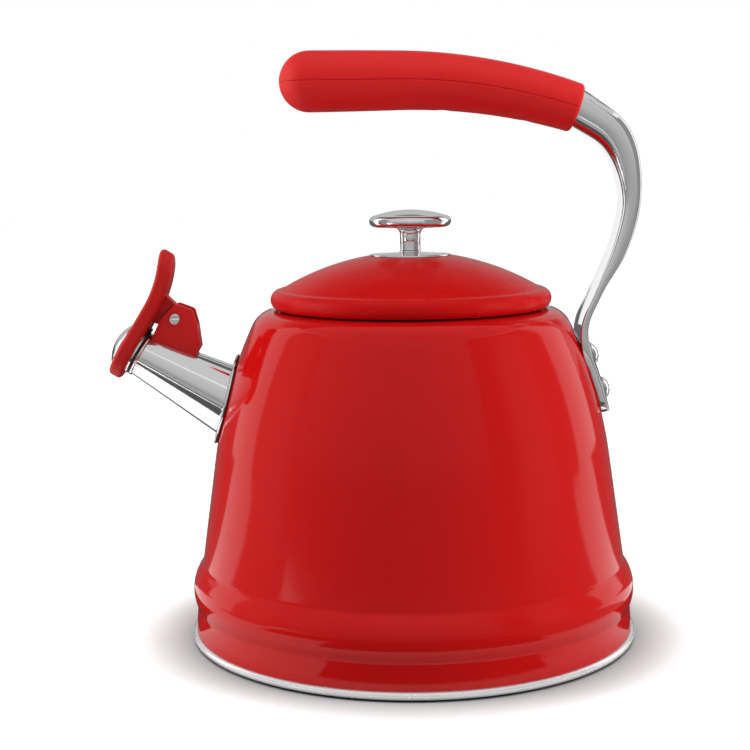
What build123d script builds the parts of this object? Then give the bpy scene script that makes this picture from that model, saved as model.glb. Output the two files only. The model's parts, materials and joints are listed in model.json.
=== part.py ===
"""Stovetop whistling kettle with a lift-off lid and a sprung whistle cap on the spout.

Millimetres. The origin is the centre of the base on the hob, +Z is up, the spout points to -X
and the handle stands on +X.
"""

import os
from math import asin, atan2, cos, degrees, hypot, pi, radians, sin, sqrt

from build123d import *

# Sheet body: outside face from the base up to the filling neck. Each turn of it is drawn in from the
# skirt by a distance, and stands a distance above the skirt's edge or below the flat top.
wall = 1.0
skirt_radius = 95.4
skirt_bottom = 4.0
top_height = 142.8
crease_draw = 0.8
crease_rise = 11.0
bead_swell = 0.8
bead_rise = 18.8
bead_top_draw = 3.4
bead_top_rise = 29.2
wall_draw = 10.1
wall_drop = 62.8
shoulder_draw = 27.0
shoulder_drop = 6.5
neck_draw = 43.4
neck_depth = 11.0
neck_bend = 2.0
crease_fillet = 1.6
crease_radius = skirt_radius - crease_draw
crease_height = skirt_bottom + crease_rise
bead_radius = skirt_radius + bead_swell
bead_height = skirt_bottom + bead_rise
bead_top_radius = skirt_radius - bead_top_draw
bead_top_height = skirt_bottom + bead_top_rise
wall_radius = skirt_radius - wall_draw
wall_height = top_height - wall_drop
shoulder_radius = skirt_radius - shoulder_draw
shoulder_height = top_height - shoulder_drop
neck_radius = skirt_radius - neck_draw

# Base: rolled steel rim, floor, heat spreader and induction plate
seat_gap = 0.05
rim_overhang = 1.6
rim_bottom = 0.6
rim_round = 1.6
rim_inset = 1.6
lap_clearance = 1.2
lap_rise = 8.5
rim_radius = skirt_radius + rim_overhang
lap_radius = skirt_radius - wall - lap_clearance
lap_height = skirt_bottom + lap_rise
rim_inner_radius = lap_radius - rim_inset
floor_thickness = 1.0
spreader_clearance = 3.6
spreader_radius = rim_inner_radius - spreader_clearance
spreader_thickness = 4.6
plate_thickness = 1.0

# Lid: domed cover with a rolled edge, plug ring and seal, placed from the neck and the flat top
lid_wall = 0.9
lid_rise = 22.5
lid_seat_radius = 17.6
valley_out = 3.7
valley_rise = 8.5
valley_fillet = 1.5
rolled_out = 8.4
rolled_rise = 4.0
rolled_end_out = 6.6
rolled_end_rise = 0.7
lid_rest_gap = 0.3
lid_gap = 0.3
seal_thickness = 0.8
seal_depth = 8.0
seal_flange_out = 4.4
liner_wall = 0.9
liner_depth = 11.5
lid_seat_height = top_height + lid_rise
valley_radius = neck_radius + valley_out
valley_height = top_height + valley_rise
rolled_radius = neck_radius + rolled_out
rolled_height = top_height + rolled_rise
rolled_end_radius = neck_radius + rolled_end_out
rolled_end_height = top_height + rolled_end_rise
seal_flange_radius = neck_radius + seal_flange_out

# Knob, its rosette and the screw that holds them on the lid
rosette_inset = 0.3
rosette_edge = 0.7
rosette_crown = 0.5
hub_radius = 4.6
hub_rise = 2.1
stem_radius = 4.4
stem_rise = 6.6
flare_out = 3.1
flare_rise = 3.5
head_radius = 17.6
head_round = 2.4
head_rise = 4.9
crown_rise = 2.4
rosette_radius = lid_seat_radius - rosette_inset
hub_height = lid_seat_height + hub_rise
stem_top = hub_height + stem_rise
flare_radius = stem_radius + flare_out
head_bottom = stem_top + flare_rise
head_rim_radius = head_radius - head_round
head_rim_top = head_bottom + head_rise
knob_top = head_rim_top + crown_rise
knob_screw_radius = 2.0
knob_screw_reach = 9.0
knob_screw_head_radius = 4.2
knob_screw_head_height = 2.4
knob_washer_radius = 7.0
knob_washer_thickness = 1.0
fit_gap = 0.05

# Spout: cone through the wall with a saddle flange, gasket and inside lock ring
spout_drop = 32.8
spout_height = shoulder_height - spout_drop
spout_slope = 28.5
spout_length = 42.7
spout_base_radius = 15.0
spout_mouth_radius = 9.4
spout_wall = 0.9
mouth_slope = 30.8
lip_out = 0.8
lip_radius = spout_mouth_radius + lip_out
lip_height = 1.6
lip_round = 0.72
flange_out = 5.2
flange_radius = spout_base_radius + flange_out
flange_thickness = 0.9
flange_margin = 4.0
gasket_inset = 0.5
gasket_radius = flange_radius - gasket_inset
gasket_thickness = 0.6
lock_ring_inset = 1.6
lock_ring_radius = flange_radius - lock_ring_inset
lock_ring_thickness = 1.2
spout_tail = 0.8
spout_gap = 0.1

# Whistle cap: distances are taken along the mouth (u, upwards) and out of it (v)
hinge_rise = 12.1
hinge_u = spout_mouth_radius + hinge_rise
hinge_v = -6.3
pin_radius = 1.5
pin_gap = 0.05
pin_head_out = 0.9
pin_head_radius = pin_radius + pin_head_out
pin_head_height = 0.9
pin_head_round = 0.54
cap_rest_gap = 0.15
cap_seal_thickness = 0.75
cap_seal_out = 0.6
cap_seal_in = 2.4
cap_seal_radius = spout_mouth_radius + cap_seal_out
cap_seal_bore = spout_mouth_radius - cap_seal_in
nib_width = 4.0
nib_length = 1.5
cap_plate_thickness = 0.8
cap_plate_out = 0.3
cap_plate_radius = cap_seal_radius + cap_plate_out
steam_hole_radius = 1.5
whistle_bore = 8.2
whistle_sleeve = 2.2
sleeve_wall = 0.7
lever_thickness = 6.0
lever_straight = 20.0
lever_bend = 50.0
cap_radius = 14.0
thumb_radius = 8.5
thumb_end = 45.0
lever_round = 1.7
dome_radius = 9.8
dome_rise = 3.2
dome_edge = 0.6
lug_half_width = 3.0
lug_radius = 4.4
lug_root = 6.5

# Bracket on the crown of the spout, and the spring round its pin: distances from the pin
cheek_gap = 0.2
cheek_thickness = 1.9
bracket_front = 6.6
bracket_chin = 5.9
bracket_chin_drop = 3.0
bracket_crest = 6.3
crest_front = 2.0
crest_back = 5.8
crest_round = 2.0
bracket_back = 9.8
bracket_back_rise = 0.6
bracket_heel = 14.2
heel_lift = 3.0
web_thickness = 3.0
back_wall = 2.0
bracket_screw_station = 4.0
bracket_screw_radius = 1.5
bracket_screw_head_radius = 2.7
bracket_screw_head_height = 1.4
bracket_screw_reach = 2.5
wire_radius = 0.3
coil_radius = 2.5
coil_turns = 2
coil_pitch = 1.05
coil_samples = 24
spring_side_gap = 0.3
spring_leg = 6.0

# Handle: forged strap from the wall pad up to the grip, and its rivets, placed from the shoulder
pad_drop = 9.3
pad_height = 29.0
pad_width = 31.0
pad_thickness = 3.6
pad_corner = 5.0
pad_overlap = 4.0
pad_edge = 0.6
pad_step = 0.15
pad_high = shoulder_height - pad_drop
pad_low = pad_high - pad_height
strap_outs = (5.9, 11.3, 19.9, 25.0, 17.6)
strap_rises = (-2.3, 12.7, 30.6, 52.7, 79.1)
strap_widths = (29.5, 27.5, 25.0, 23.0, 22.0, 22.0)
strap_thicknesses = (3.3, 3.1, 6.0, 7.6, 13.6, 15.4)
strap_rounds = (0.7, 0.8, 1.5, 2.2, 3.4, 3.6)
strap_bows = (0.9, 0.4, 0.1, 0.05, 0.05, 0.05)
rivet_drops = (5.8, 20.6)
rivet_heights = tuple(pad_high - drop for drop in rivet_drops)
rivet_radius = 2.5
rivet_head_radius = 4.7
rivet_head_height = 2.5
rivet_tail_radius = 4.2
rivet_tail_height = 1.4
rivet_washer_radius = 6.5
rivet_washer_thickness = 1.0

# Grip: two moulded halves round the tang of the strap
grip_rise = 102.9
grip_back = 73.4
grip_straight = 50.1
grip_height = shoulder_height + grip_rise
grip_bend_x = shoulder_radius - grip_back
grip_end_x = grip_bend_x - grip_straight
grip_diameter = 25.9
grip_bend = 235.0
grip_turn = 18.9
grip_joint_height = 20.8
grip_joint_width = 27.0
grip_taper = 1.5
grip_edge = 1.8
grip_slab_turn = 28.9
parting_gap = 0.1
tang_width = 14.0
tang_thickness = 8.0
tang_turn = 16.0
tang_gap = 0.1
grip_screw_turns = (5.0, 14.0)
grip_screw_radius = 1.5
grip_screw_head_radius = 3.0
grip_screw_head_height = 2.0
grip_screw_seat = 6.5
grip_screw_reach = 7.0

# Wall geometry worked out from the sizes above: a straight cone, then one large arc to the shoulder
wall_lean = atan2(bead_top_radius - wall_radius, wall_height - bead_top_height)
chord_lean = atan2(wall_radius - shoulder_radius, shoulder_height - wall_height)
upper_turn = 2 * (chord_lean - wall_lean)
upper_chord = hypot(wall_radius - shoulder_radius, shoulder_height - wall_height)
upper_arc = upper_chord / (2 * sin(upper_turn / 2))
upper_centre = (wall_radius - upper_arc * cos(wall_lean), wall_height - upper_arc * sin(wall_lean))
shoulder_lean = wall_lean + upper_turn
shoulder_arc = (top_height - shoulder_height) / (1 - sin(shoulder_lean))


def wall_lean_at(height):
    """Angle of the wall's outward normal above the horizontal, in degrees."""
    return degrees(asin((height - upper_centre[1]) / upper_arc))


def wall_point(height, off=0.0):
    """Point off the outside face, along the normal that leaves the face at this height."""
    lean = radians(wall_lean_at(height))
    reach = upper_arc + off
    return (upper_centre[0] + reach * cos(lean), upper_centre[1] + reach * sin(lean))


def wall_radius_at(height):
    """Radius of the outside face at a height on its upper arc."""
    return wall_point(height)[0]


def wall_plane(height, off=0.0, side=1):
    """Plane square to the wall on the handle side (1) or the spout side (-1), facing outwards."""
    radius, level = wall_point(height, off)
    lean = radians(wall_lean_at(height))
    outward = (side * cos(lean), 0, sin(lean))
    return Plane(origin=(side * radius, 0, level), x_dir=(0, side, 0), z_dir=outward)


def wall_arc(low, high, off=0.0):
    """Controls and weights of the wall's circular arc between two heights, off its outside face."""
    middle = radians((wall_lean_at(low) + wall_lean_at(high)) / 2)
    half_turn = radians((wall_lean_at(high) - wall_lean_at(low)) / 2)
    reach = (upper_arc + off) / cos(half_turn)
    corner = (upper_centre[0] + reach * cos(middle), upper_centre[1] + reach * sin(middle))
    return (wall_point(low, off), corner, wall_point(high, off)), (1, cos(half_turn), 1)


def wall_band(inner, outer, low, high):
    """Ring of revolution that follows the wall, between two distances off its outside face."""
    inner_points, weights = wall_arc(low, high, inner)
    outer_points, _ = wall_arc(low, high, outer)
    with BuildPart() as band:
        with BuildSketch(Plane.YZ):
            with BuildLine():
                Bezier(*outer_points, weights=weights)
                Bezier(*inner_points, weights=weights)
                Line(inner_points[0], outer_points[0])
                Line(inner_points[-1], outer_points[-1])
            make_face()
        revolve(axis=Axis.Z)
    return band.part


# Spout and mouth frames
spout_root = Vector(-wall_point(spout_height)[0], 0, spout_height)
spout_axis = Vector(-cos(radians(spout_slope)), 0, sin(radians(spout_slope)))
mouth_centre = spout_root + spout_axis * spout_length
mouth_out = Vector(-cos(radians(mouth_slope)), 0, sin(radians(mouth_slope)))
mouth_up = Vector(sin(radians(mouth_slope)), 0, cos(radians(mouth_slope)))
spout_plane = Plane(origin=spout_root, x_dir=spout_axis, z_dir=(0, -1, 0))
mouth_plane = Plane(origin=mouth_centre, x_dir=(0, -1, 0), z_dir=mouth_out)
lever_plane = Plane(origin=mouth_centre, x_dir=mouth_up, z_dir=(0, -1, 0))
spout_taper = (spout_base_radius - spout_mouth_radius) / spout_length
spout_line = Axis(spout_root, spout_axis)
mouth_line = Axis(mouth_centre, mouth_out)
flange_band_low = spout_height - flange_radius - flange_margin
flange_band_high = spout_height + flange_radius + flange_margin
hinge_centre = mouth_centre + mouth_up * hinge_u + mouth_out * hinge_v

# Bracket frame: along the crown of the spout (down towards the body) and square to it
spout_half_angle = atan2(spout_base_radius - spout_mouth_radius, spout_length)
crown_slope = radians(spout_slope) - spout_half_angle
crown_fall = Vector(cos(crown_slope), 0, -sin(crown_slope))
crown_up = Vector(sin(crown_slope), 0, cos(crown_slope))
crown_foot = mouth_centre + crown_up * spout_mouth_radius * cos(spout_half_angle)
hinge_above = (hinge_centre - crown_foot).dot(crown_up)
bracket_plane = Plane(origin=hinge_centre, x_dir=crown_fall, z_dir=(0, -1, 0))
screw_seat = hinge_centre - crown_up * hinge_above + crown_fall * bracket_screw_station
bracket_screw_plane = Plane(origin=screw_seat, x_dir=(0, 1, 0), z_dir=crown_up)

lever_back = cap_rest_gap + cap_seal_thickness + cap_plate_thickness
lever_front = lever_back + lever_thickness
cheek_inner = lug_half_width + cheek_gap
cheek_outer = cheek_inner + cheek_thickness

# Grip frames
spine_centre = (grip_bend_x, grip_height - grip_bend)
dome_centre_x = grip_end_x + grip_diameter / 2
straight_length = grip_bend_x - dome_centre_x
spine_length = straight_length + grip_bend * radians(grip_turn)


def spine_plane(turn, off=0.0):
    """Plane across the grip where its spine has turned down by so many degrees, facing the handle."""
    angle = radians(turn)
    reach = grip_bend + off
    origin = (spine_centre[0] + reach * sin(angle), 0, spine_centre[1] + reach * cos(angle))
    return Plane(origin=origin, x_dir=(0, 1, 0), z_dir=(cos(angle), 0, -sin(angle)))


def spine_normal_plane(turn, off):
    """Plane that faces straight up out of the spine, at a distance off it."""
    angle = radians(turn)
    reach = grip_bend + off
    origin = (spine_centre[0] + reach * sin(angle), 0, spine_centre[1] + reach * cos(angle))
    return Plane(origin=origin, x_dir=(0, 1, 0), z_dir=(sin(angle), 0, cos(angle)))


def sagitta(half_chord, radius):
    """How far a curve of this radius falls away at half a chord from its top."""
    return radius - sqrt(radius**2 - half_chord**2)


def spout_cone(off, start, end):
    """Solid cone along the spout, grown by a distance, between two stations on its axis."""
    with BuildPart() as cone:
        with BuildSketch(spout_plane):
            with BuildLine():
                Polyline(
                    (start, 0),
                    (end, 0),
                    (end, spout_base_radius - spout_taper * end + off),
                    (start, spout_base_radius - spout_taper * start + off),
                    close=True,
                )
            make_face()
        revolve(axis=spout_line)
    return cone.part


spout_hole = spout_cone(spout_gap, -2 * flange_radius, flange_radius)
spout_seat = spout_cone(fit_gap, 0, spout_length)
spout_outside = spout_cone(0, -flange_radius, spout_length + lip_radius)
spout_bore = spout_cone(-spout_wall, -2 * flange_radius, spout_length + 2 * lip_radius)

os.makedirs("parts", exist_ok=True)


def body_line(inset):
    """One face of the drawn sheet, from the skirt up over the shoulder and down into the neck."""
    upper_points, weights = wall_arc(wall_height, shoulder_height, -inset)
    Line((skirt_radius - inset, skirt_bottom), (crease_radius - inset, crease_height))
    ThreePointArc(
        (crease_radius - inset, crease_height),
        (bead_radius - inset, bead_height),
        (bead_top_radius - inset, bead_top_height),
    )
    Line((bead_top_radius - inset, bead_top_height), upper_points[0])
    upper = Bezier(*upper_points, weights=weights)
    crown = JernArc(upper @ 1, upper % 1, shoulder_arc - inset, 90 - degrees(shoulder_lean))
    flat = Line(crown @ 1, (neck_radius + neck_bend, top_height - inset))
    turned = JernArc(flat @ 1, (-1, 0), neck_bend - inset, 90)
    Line(turned @ 1, (neck_radius + inset, top_height - neck_depth))


# Body shell: one drawn sheet from the skirt to the turned-down filling neck
with BuildPart() as body_shell:
    with BuildSketch(Plane.YZ) as sheet:
        with BuildLine():
            body_line(0)
            body_line(wall)
            Line((skirt_radius, skirt_bottom), (skirt_radius - wall, skirt_bottom))
            Line((neck_radius, top_height - neck_depth), (neck_radius + wall, top_height - neck_depth))
        make_face()
        fillet(sheet.vertices().filter_by_position(Axis.Y, crease_height, bead_top_height), crease_fillet)
    revolve(axis=Axis.Z)
    add(spout_hole, mode=Mode.SUBTRACT)
    for height in rivet_heights:
        with BuildSketch(wall_plane(height)):
            Circle(rivet_radius + fit_gap)
        extrude(amount=3 * wall, both=True, mode=Mode.SUBTRACT)
body_shell.part.label = "body_shell"
export_step(body_shell.part, "parts/body_shell.step")

# Base pan: floor, lap inside the skirt and the rolled rim that shows below it
rim_top = skirt_bottom - 2 * seat_gap
floor_bottom = plate_thickness + spreader_thickness
with BuildPart() as base_pan:
    with BuildSketch(Plane.XZ) as pan_section:
        with BuildLine():
            Polyline(
                (0, floor_bottom),
                (rim_inner_radius, floor_bottom),
                (rim_inner_radius, rim_bottom),
                (rim_radius, rim_bottom),
                (rim_radius, rim_top),
                (lap_radius, rim_top),
                (lap_radius, lap_height),
                (lap_radius - floor_thickness, lap_height),
                (lap_radius - floor_thickness, floor_bottom + floor_thickness),
                (0, floor_bottom + floor_thickness),
                close=True,
            )
        make_face()
        fillet(pan_section.vertices().group_by(Axis.X)[-1], rim_round)
    revolve(axis=Axis.Z)
base_pan.part.label = "base_pan"
export_step(base_pan.part, "parts/base_pan.step")

# Heat spreader: thick aluminium disc under the floor
with BuildPart() as heat_spreader:
    with BuildSketch(Plane.XY.offset(plate_thickness)):
        Circle(spreader_radius)
    extrude(amount=spreader_thickness)
heat_spreader.part.label = "heat_spreader"
export_step(heat_spreader.part, "parts/heat_spreader.step")

# Induction plate: shallow steel cup that closes the spreader in and stands on the hob
with BuildPart() as induction_plate:
    with BuildSketch(Plane.XY):
        Circle(spreader_radius + fit_gap + plate_thickness)
    extrude(amount=plate_thickness + spreader_thickness)
    with BuildSketch(Plane.XY.offset(plate_thickness)):
        Circle(spreader_radius + fit_gap)
    extrude(amount=spreader_thickness, mode=Mode.SUBTRACT)
    foot_edge = induction_plate.faces().sort_by(Axis.Z)[0].edges()
    fillet(foot_edge, plate_thickness / 2)
induction_plate.part.label = "induction_plate"
export_step(induction_plate.part, "parts/induction_plate.step")

# Spout tube: cone with a rolled lip and a saddle flange that follows the wall
flange_band = wall_band(
    gasket_thickness + seat_gap, gasket_thickness + seat_gap + flange_thickness,
    flange_band_low, flange_band_high,
)
tail_off = wall + lock_ring_thickness + spout_tail
tail_cut = wall_band(-tail_off - 2 * flange_radius, -tail_off, flange_band_low, flange_band_high)
with BuildPart() as spout_tube:
    add(flange_band)
    with BuildSketch(wall_plane(spout_height, 0, -1)):
        Circle(flange_radius)
    extrude(amount=flange_radius / 2, both=True, mode=Mode.INTERSECT)
    add(spout_outside)
    with BuildSketch(mouth_plane):
        Circle(4 * lip_radius)
    extrude(amount=4 * lip_radius, mode=Mode.SUBTRACT)
    with BuildSketch(lever_plane) as lip_section:
        with BuildLine():
            Polyline(
                (0, 0),
                (lip_radius, 0),
                (lip_radius, -lip_height),
                (0, -lip_height),
                close=True,
            )
        make_face()
        fillet(lip_section.vertices().group_by(Axis.X)[-1], lip_round)
    revolve(axis=mouth_line)
    add(spout_bore, mode=Mode.SUBTRACT)
    add(tail_cut, mode=Mode.SUBTRACT)
    with BuildSketch(bracket_screw_plane):
        Circle(bracket_screw_radius + fit_gap)
    extrude(amount=2 * spout_wall, both=True, mode=Mode.SUBTRACT)
spout_tube.part.label = "spout_tube"
export_step(spout_tube.part, "parts/spout_tube.step")

# Spout gasket: thin black ring between the flange and the wall
gasket_band = wall_band(seat_gap, gasket_thickness, flange_band_low, flange_band_high)
with BuildPart() as spout_gasket:
    add(gasket_band)
    with BuildSketch(wall_plane(spout_height, 0, -1)):
        Circle(gasket_radius)
    extrude(amount=flange_radius / 2, both=True, mode=Mode.INTERSECT)
    add(spout_hole, mode=Mode.SUBTRACT)
spout_gasket.part.label = "spout_gasket"
export_step(spout_gasket.part, "parts/spout_gasket.step")

# Spout lock ring: clamps the spout from inside the wall
lock_band = wall_band(-wall - lock_ring_thickness, -wall - seat_gap, flange_band_low, flange_band_high)
with BuildPart() as spout_lock_ring:
    add(lock_band)
    with BuildSketch(wall_plane(spout_height, 0, -1)):
        Circle(lock_ring_radius)
    extrude(amount=flange_radius / 2, both=True, mode=Mode.INTERSECT)
    add(spout_hole, mode=Mode.SUBTRACT)
spout_lock_ring.part.label = "spout_lock_ring"
export_step(spout_lock_ring.part, "parts/spout_lock_ring.step")

# Spout bracket: two cheeks, a saddle web on the crown of the spout and a back wall
bracket_depth = hinge_above + spout_base_radius / 2
with BuildPart() as spout_bracket:
    with BuildSketch(bracket_plane) as cheek_outline:
        with BuildLine():
            Polyline(
                (-bracket_front, -bracket_depth),
                (-bracket_front, -hinge_above),
                (-bracket_chin, -bracket_chin_drop),
                (-crest_front, bracket_crest),
                (crest_back, bracket_crest),
                (bracket_back, bracket_back_rise),
                (bracket_heel, heel_lift - hinge_above),
                (bracket_heel - heel_lift / 2, -bracket_depth),
                close=True,
            )
        make_face()
        fillet(cheek_outline.vertices().group_by(Axis.Y)[-1], crest_round)
    extrude(amount=cheek_outer, both=True)
    with BuildSketch(bracket_plane):
        with BuildLine():
            Polyline(
                (-2 * bracket_front, web_thickness - hinge_above),
                (bracket_back - back_wall, web_thickness - hinge_above),
                (bracket_back - back_wall, bracket_back_rise),
                (2 * bracket_back, bracket_back_rise),
                (2 * bracket_back, 2 * bracket_crest),
                (-2 * bracket_front, 2 * bracket_crest),
                close=True,
            )
        make_face()
    extrude(amount=cheek_inner, both=True, mode=Mode.SUBTRACT)
    with BuildSketch(bracket_plane):
        Circle(pin_radius + fit_gap)
    extrude(amount=2 * cheek_outer, both=True, mode=Mode.SUBTRACT)
    add(spout_seat, mode=Mode.SUBTRACT)
    with BuildSketch(bracket_screw_plane):
        Circle(bracket_screw_radius + fit_gap)
    extrude(amount=bracket_screw_reach + fit_gap, both=True, mode=Mode.SUBTRACT)
spout_bracket.part.label = "spout_bracket"
export_step(spout_bracket.part, "parts/spout_bracket.step")

# Bracket screw: pan head inside the spout, up into the web
bore_radius_there = spout_mouth_radius - spout_wall
screw_head_drop = spout_wall + sagitta(bracket_screw_head_radius, bore_radius_there) + fit_gap
with BuildPart() as bracket_screw:
    with BuildSketch(bracket_screw_plane.offset(-screw_head_drop - bracket_screw_head_height)):
        Circle(bracket_screw_head_radius)
    extrude(amount=bracket_screw_head_height)
    with BuildSketch(bracket_screw_plane.offset(-screw_head_drop)):
        Circle(bracket_screw_radius)
    extrude(amount=screw_head_drop + bracket_screw_reach)
    rim_edges = bracket_screw.edges().filter_by(GeomType.CIRCLE).sort_by(Axis(screw_seat, crown_up))[0]
    fillet(rim_edges, bracket_screw_head_height / 2)
bracket_screw.part.label = "bracket_screw"
export_step(bracket_screw.part, "parts/bracket_screw.step")

# Hinge pin: riveted through both cheeks
with BuildPart() as hinge_pin:
    with BuildSketch(bracket_plane):
        Circle(pin_radius)
    extrude(amount=cheek_outer + fit_gap, both=True)
    for side in (1, -1):
        with BuildSketch(bracket_plane.offset(side * (cheek_outer + fit_gap))):
            Circle(pin_head_radius)
        extrude(amount=side * pin_head_height)
    head_edges = hinge_pin.edges().filter_by(GeomType.CIRCLE).group_by(Axis.Y)
    fillet(head_edges[0] + head_edges[-1], pin_head_round)
hinge_pin.part.label = "hinge_pin"
export_step(hinge_pin.part, "parts/hinge_pin.step")


# Hinge spring: one torsion coil round the pin, a leg behind the lever and a leg on the back wall
def coil_point(turn):
    """Point on the middle of the wire, so many turns from the start of the coil."""
    angle = 2 * pi * turn
    around = mouth_up * coil_radius * cos(angle) + mouth_out * coil_radius * sin(angle)
    return hinge_centre + around + Vector(0, coil_pitch * (turn - coil_turns / 2), 0)


spring_half_width = coil_turns * coil_pitch / 2 + wire_radius + spring_side_gap
lever_leg = lever_back - hinge_v - 2 * wire_radius
with BuildPart() as hinge_spring:
    with BuildLine() as wire:
        Line(coil_point(0) - mouth_out * spring_leg, coil_point(0))
        heading = mouth_out
        for quarter in range(4 * coil_turns):
            bend = TangentArc(coil_point(quarter / 4), coil_point((quarter + 1) / 4), tangent=heading)
            heading = bend % 1
        Line(coil_point(coil_turns), coil_point(coil_turns) + mouth_out * lever_leg)
    with BuildSketch(Plane(origin=coil_point(0) - mouth_out * spring_leg, z_dir=mouth_out)):
        Circle(wire_radius)
    sweep(path=wire.wires()[0])
hinge_spring.part.label = "hinge_spring"
export_step(hinge_spring.part, "parts/hinge_spring.step")
samples = [coil_point(step / coil_samples) for step in range(coil_samples * coil_turns + 1)]
gaps = [(p - q).length for i, p in enumerate(samples) for q in samples[i + coil_samples // 2:]]
print("spring: least gap between turns", round(min(gaps) - 2 * wire_radius, 3), "mm")

# Handle strap: saddle pad on the wall, lofted up into the thick joint at the grip
pad_mid_off = seat_gap + pad_thickness / 2
pad_band = wall_band(seat_gap, seat_gap + pad_thickness, pad_low, pad_high)
pad_clearance = wall_band(-wall, seat_gap, pad_low - pad_overlap, shoulder_height)
strap_start = wall_point(pad_high - pad_overlap, pad_mid_off)
start_lean = radians(wall_lean_at(pad_high - pad_overlap))
joint = spine_plane(grip_turn).origin
strap_points = [strap_start]
for out, rise in zip(strap_outs, strap_rises):
    strap_points.append((shoulder_radius + out, shoulder_height + rise))
strap_points.append((joint.X, joint.Z))
strap_headings = [(-sin(start_lean), cos(start_lean))]
for before, after in zip(strap_points, strap_points[2:]):
    strap_headings.append((after[0] - before[0], after[1] - before[1]))
strap_headings.append((-cos(radians(grip_turn)), sin(radians(grip_turn))))


def strap_section(point, heading, width, thickness, corner, fall):
    """Face across the strap at a point of its line; its edges fall back to hug a round wall."""
    side = width / 2
    flat = side - corner
    top = thickness / 2
    edge = top - fall
    low = -top - fall
    round_x = flat + corner * sqrt(0.5)
    round_y = corner * (1 - sqrt(0.5))
    origin = (point[0], 0, point[1])
    with BuildSketch(Plane(origin=origin, x_dir=(0, -1, 0), z_dir=(heading[0], 0, heading[1]))) as section:
        with BuildLine():
            ThreePointArc((-flat, edge), (0, top), (flat, edge))
            ThreePointArc((flat, edge), (round_x, edge - round_y), (side, edge - corner))
            Line((side, edge - corner), (side, low + corner))
            ThreePointArc((side, low + corner), (round_x, low + round_y), (flat, low))
            ThreePointArc((flat, low), (0, -top), (-flat, low))
            ThreePointArc((-flat, low), (-round_x, low + round_y), (-side, low + corner))
            Line((-side, low + corner), (-side, edge - corner))
            ThreePointArc((-side, edge - corner), (-round_x, edge - round_y), (-flat, edge))
        make_face()
    return section.sketch.face()


pad_fall = sagitta(pad_width / 2, wall_radius_at(pad_high))
widths = (pad_width - 2 * pad_step, *strap_widths)
thicknesses = (pad_thickness - 2 * pad_step, *strap_thicknesses)
rounds = (pad_edge, *strap_rounds)
falls = (pad_fall, *strap_bows)
strap_sections = []
for section_sizes in zip(strap_points, strap_headings, widths, thicknesses, rounds, falls):
    strap_sections.append(strap_section(*section_sizes))


def tang_bar(gap):
    """Bar along the spine of the grip, grown by a gap on every side."""
    end = spine_plane(grip_turn)
    with BuildPart() as bar:
        with BuildSketch(end):
            Rectangle(tang_width + 2 * gap, tang_thickness + 2 * gap)
        spine_axis = Axis((spine_centre[0], 0, spine_centre[1]), (0, -1, 0))
        revolve(axis=spine_axis, revolution_arc=tang_turn + degrees(gap / grip_bend))
    return bar.part


tang = tang_bar(0)
tang_socket = tang_bar(tang_gap)
with BuildPart() as handle_strap:
    add(pad_band)
    with BuildSketch(Plane.YZ) as pad_outline:
        with Locations((0, (pad_low + pad_high) / 2)):
            Rectangle(pad_width, pad_high - pad_low)
        fillet(pad_outline.vertices().group_by(Axis.Y)[0], pad_corner)
    extrude(amount=rim_radius, mode=Mode.INTERSECT)
    loft(strap_sections)
    add(pad_clearance, mode=Mode.SUBTRACT)
    add(tang)
    for height in rivet_heights:
        with BuildSketch(wall_plane(height)):
            Circle(rivet_radius + fit_gap)
        extrude(amount=2 * pad_thickness, both=True, mode=Mode.SUBTRACT)
    for turn in grip_screw_turns:
        with BuildSketch(spine_normal_plane(turn, 0)):
            Circle(grip_screw_radius + tang_gap)
        extrude(amount=tang_thickness, both=True, mode=Mode.SUBTRACT)
handle_strap.part.label = "handle_strap"
export_step(handle_strap.part, "parts/handle_strap.step")


# Handle rivets and the washers under their tails
def rivet_section_plane(height):
    """Plane through a rivet's axis: x across it, y out of the wall from its outside face."""
    radius, level = wall_point(height)
    lean = radians(wall_lean_at(height))
    return Plane(origin=(radius, 0, level), x_dir=(0, 1, 0), z_dir=(sin(lean), 0, -cos(lean)))


def rivet_axis(height):
    """Axis of a rivet, out of the wall."""
    lean = radians(wall_lean_at(height))
    radius, level = wall_point(height)
    return Axis((radius, 0, level), (cos(lean), 0, sin(lean)))


def washer_top(height):
    """Level of a flat washer's outer face, where its rim meets the round inside of the wall."""
    return -wall - seat_gap - sagitta(rivet_washer_radius, wall_radius_at(height) - wall)


rivet_head_base = pad_thickness + 2 * seat_gap
rivet_head_edge = rivet_head_height / 5
with BuildPart() as handle_rivets:
    for height in rivet_heights:
        tail_top = washer_top(height) - rivet_washer_thickness - seat_gap
        with BuildSketch(rivet_section_plane(height)):
            with BuildLine():
                Polyline(
                    (0, rivet_head_base + rivet_head_height),
                    (0, tail_top - rivet_tail_height),
                    (rivet_tail_radius, tail_top - rivet_tail_height),
                    (rivet_tail_radius, tail_top),
                    (rivet_radius, tail_top),
                    (rivet_radius, rivet_head_base),
                    (rivet_head_radius, rivet_head_base),
                    (rivet_head_radius, rivet_head_base + rivet_head_edge),
                )
                TangentArc(
                    (0, rivet_head_base + rivet_head_height),
                    (rivet_head_radius, rivet_head_base + rivet_head_edge),
                    tangent=(1, 0),
                )
            make_face()
        revolve(axis=rivet_axis(height))
handle_rivets.part.label = "handle_rivets"
export_step(handle_rivets.part, "parts/handle_rivets.step")

with BuildPart() as rivet_washers:
    for height in rivet_heights:
        with BuildSketch(wall_plane(height, washer_top(height) - rivet_washer_thickness)):
            Circle(rivet_washer_radius)
            Circle(rivet_radius + fit_gap, mode=Mode.SUBTRACT)
        extrude(amount=rivet_washer_thickness)
rivet_washers.part.label = "rivet_washers"
export_step(rivet_washers.part, "parts/rivet_washers.step")


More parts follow.
